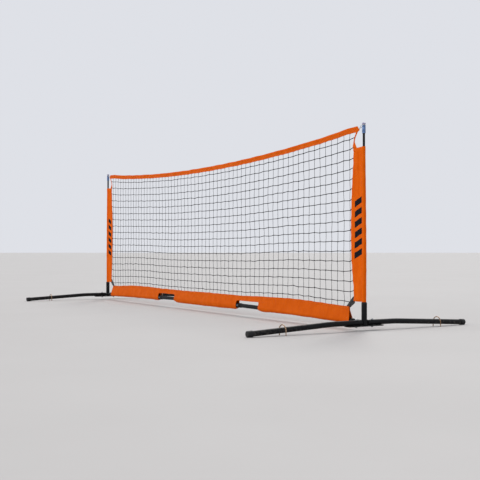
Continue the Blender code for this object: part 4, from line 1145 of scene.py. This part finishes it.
def net():
    """Knotted twine: 62 upright and 17 level strands, joined by a knot at every crossing."""
    rng = np.random.default_rng(5)
    column = SPAN - FIRST_COLUMN - CELL * np.arange(COLUMNS)
    share = 0.9690 - 0.0588 * np.arange(ROWS)
    low, high = band_top(column), tape_z(column) - TAPE_HALF
    c, r = np.meshgrid(np.arange(COLUMNS), np.arange(ROWS), indexing="ij")
    zigzag = np.where((c + r) % 2, 1.0, -1.0)
    z = low[:, None] + (high - low)[:, None] * share + 0.0010 * zigzag + rng.normal(0, 0.0007, c.shape)
    z = z - 0.0008 * np.exp(-np.minimum(c, COLUMNS - 1 - c) / 1.2)
    x = column[:, None] + 0.0008 * zigzag + rng.normal(0, 0.0006, c.shape)
    x = x + 0.0016 * np.exp(-(ROWS - 1 - r) / 2.0) * ripple(c, r, 7, 5, 81)
    y = 0.0011 * ripple(c, r, 13, 9, 82) + 0.0004 * rng.normal(0, 1, c.shape)
    knot = points(x, y, z)

    rows = []
    for k in range(ROWS):
        right, left = (row_end(sign, z[at, k] + 0.007, k == ROWS - 1) for sign, at in ((1.0, 0), (-1.0, -1)))
        rows.append([right, *knot[:, k], left])
    rows = twines(rows, (0, 0.0004, 0.0005), 0.00180, (0, 0, 1), rng)
    # The level strands take the darker twine copy: painted shade.
    rows.piece("net_rows", "twine", "net_panel", 80)

    # The upright strands take the lighter twine copy: painted light.
    columns = ([(x + 0.0004, tape_drift(x, -1.0), high[i] + 0.0030), *knot[i],
                (x + rng.normal(0, 0.0012), band_sway(x), low[i] - 0.0030)] for i, x in enumerate(column))
    columns = twines(columns, (0.0005, 0.0004, 0), 0.00092, (0, 1, 0), rng)
    columns.piece("net_columns", "lit_twine", sharp=80)

    # The knots take the darker twine copy: painted shade.
    for name, lot in (("right", slice(0, 21)), ("centre", slice(21, 42)), ("left", slice(42, COLUMNS))):
        knots(knot[lot].reshape(-1, 3), rng).piece(f"net_knots_{name}", "twine", sharp=80)


# ---------------------------------------------------------------- scene
def place(name, data, location=(0, 0, 0)):
    """A new object for the data, in the scene."""
    made = bpy.data.objects.new(name, data)
    made.location = location
    bpy.context.scene.collection.objects.link(made)
    return made


def look_along(made, way):
    """Turns a light or the camera to look along a direction."""
    made.rotation_euler = way.to_track_quat("-Z", "Y").to_euler()


def ground():
    """A round floor, so wide that its edge is the level horizon."""
    radius = 280
    floor = place("floor", bpy.data.meshes.new("floor"))
    edge = [(radius * math.cos(a), radius * math.sin(a), 0) for a in circle(64)]
    floor.data.from_pydata(edge, [], [list(range(64))])
    paint = Paint("floor", 0.75)
    cloud = paint.noise(0.9, 4.0)
    paint.colour(paint.blend(paint.span(cloud, 0.3, 0.7), (0.470, 0.458, 0.446), (0.485, 0.473, 0.461)))
    paint.bump(paint.noise(0.02, 3.0), 0.0006, 0.3)
    floor.data.materials.append(paint.material)


def light():
    """Even sky, the sun from behind the net, and two softer lights from its front and from its right end."""
    bpy.context.scene.view_settings.view_transform = "Standard"
    world = bpy.context.scene.world or bpy.data.worlds.new("world")
    bpy.context.scene.world = world
    world.use_nodes = True
    sky = world.node_tree.nodes["Background"]
    sky.inputs["Color"].default_value = (0.92, 0.94, 1.0, 1.0)
    sky.inputs["Strength"].default_value = 0.80

    for name, at, spread, power, colour in (("sun", (-3.0, 3.0, 4.5), 16, 1.15, (1.0, 0.975, 0.94)),
                                            ("key", (-2.4, -6.0, 2.8), 36, 1.42, (1.0, 0.97, 0.93)),
                                            ("fill", (4.1, -1.4, 0.7), 40, 0.36, (1.0, 0.97, 0.94))):
        data = bpy.data.lights.new(name, "SUN")
        data.energy, data.color, data.angle = power, colour, math.radians(spread)
        look_along(place(name, data, at), -Vector(at))


def camera():
    """Low at the right end, in front of the net."""
    data = bpy.data.cameras.new("camera")
    data.lens, data.sensor_width, data.clip_end = 64.14, 36.0, 300
    yaw, pitch = math.radians(31.005), math.radians(0.782)
    made = place("camera", data, (4.500, -2.452, 0.3532))
    level = math.cos(pitch)
    look_along(made, Vector((-math.cos(yaw) * level, math.sin(yaw) * level, math.sin(pitch))))
    bpy.context.scene.camera = made


camera()
ground()
light()
for side_name, side_sign in SIDES:
    bracket(side_name, side_sign)
    for end_name, end_way in ENDS:
        for make in (leg, bolt, peg):
            make(side_name, end_name, side_sign * SPAN, end_way)
    for make in (socket, pole, top_loop):
        make(side_name, side_sign)
rail()
top_tape()
net()
bottom_band()
for side_name, side_sign in SIDES:
    for make in (post_sleeve, side_border, corner_strap):
        make(side_name, side_sign)
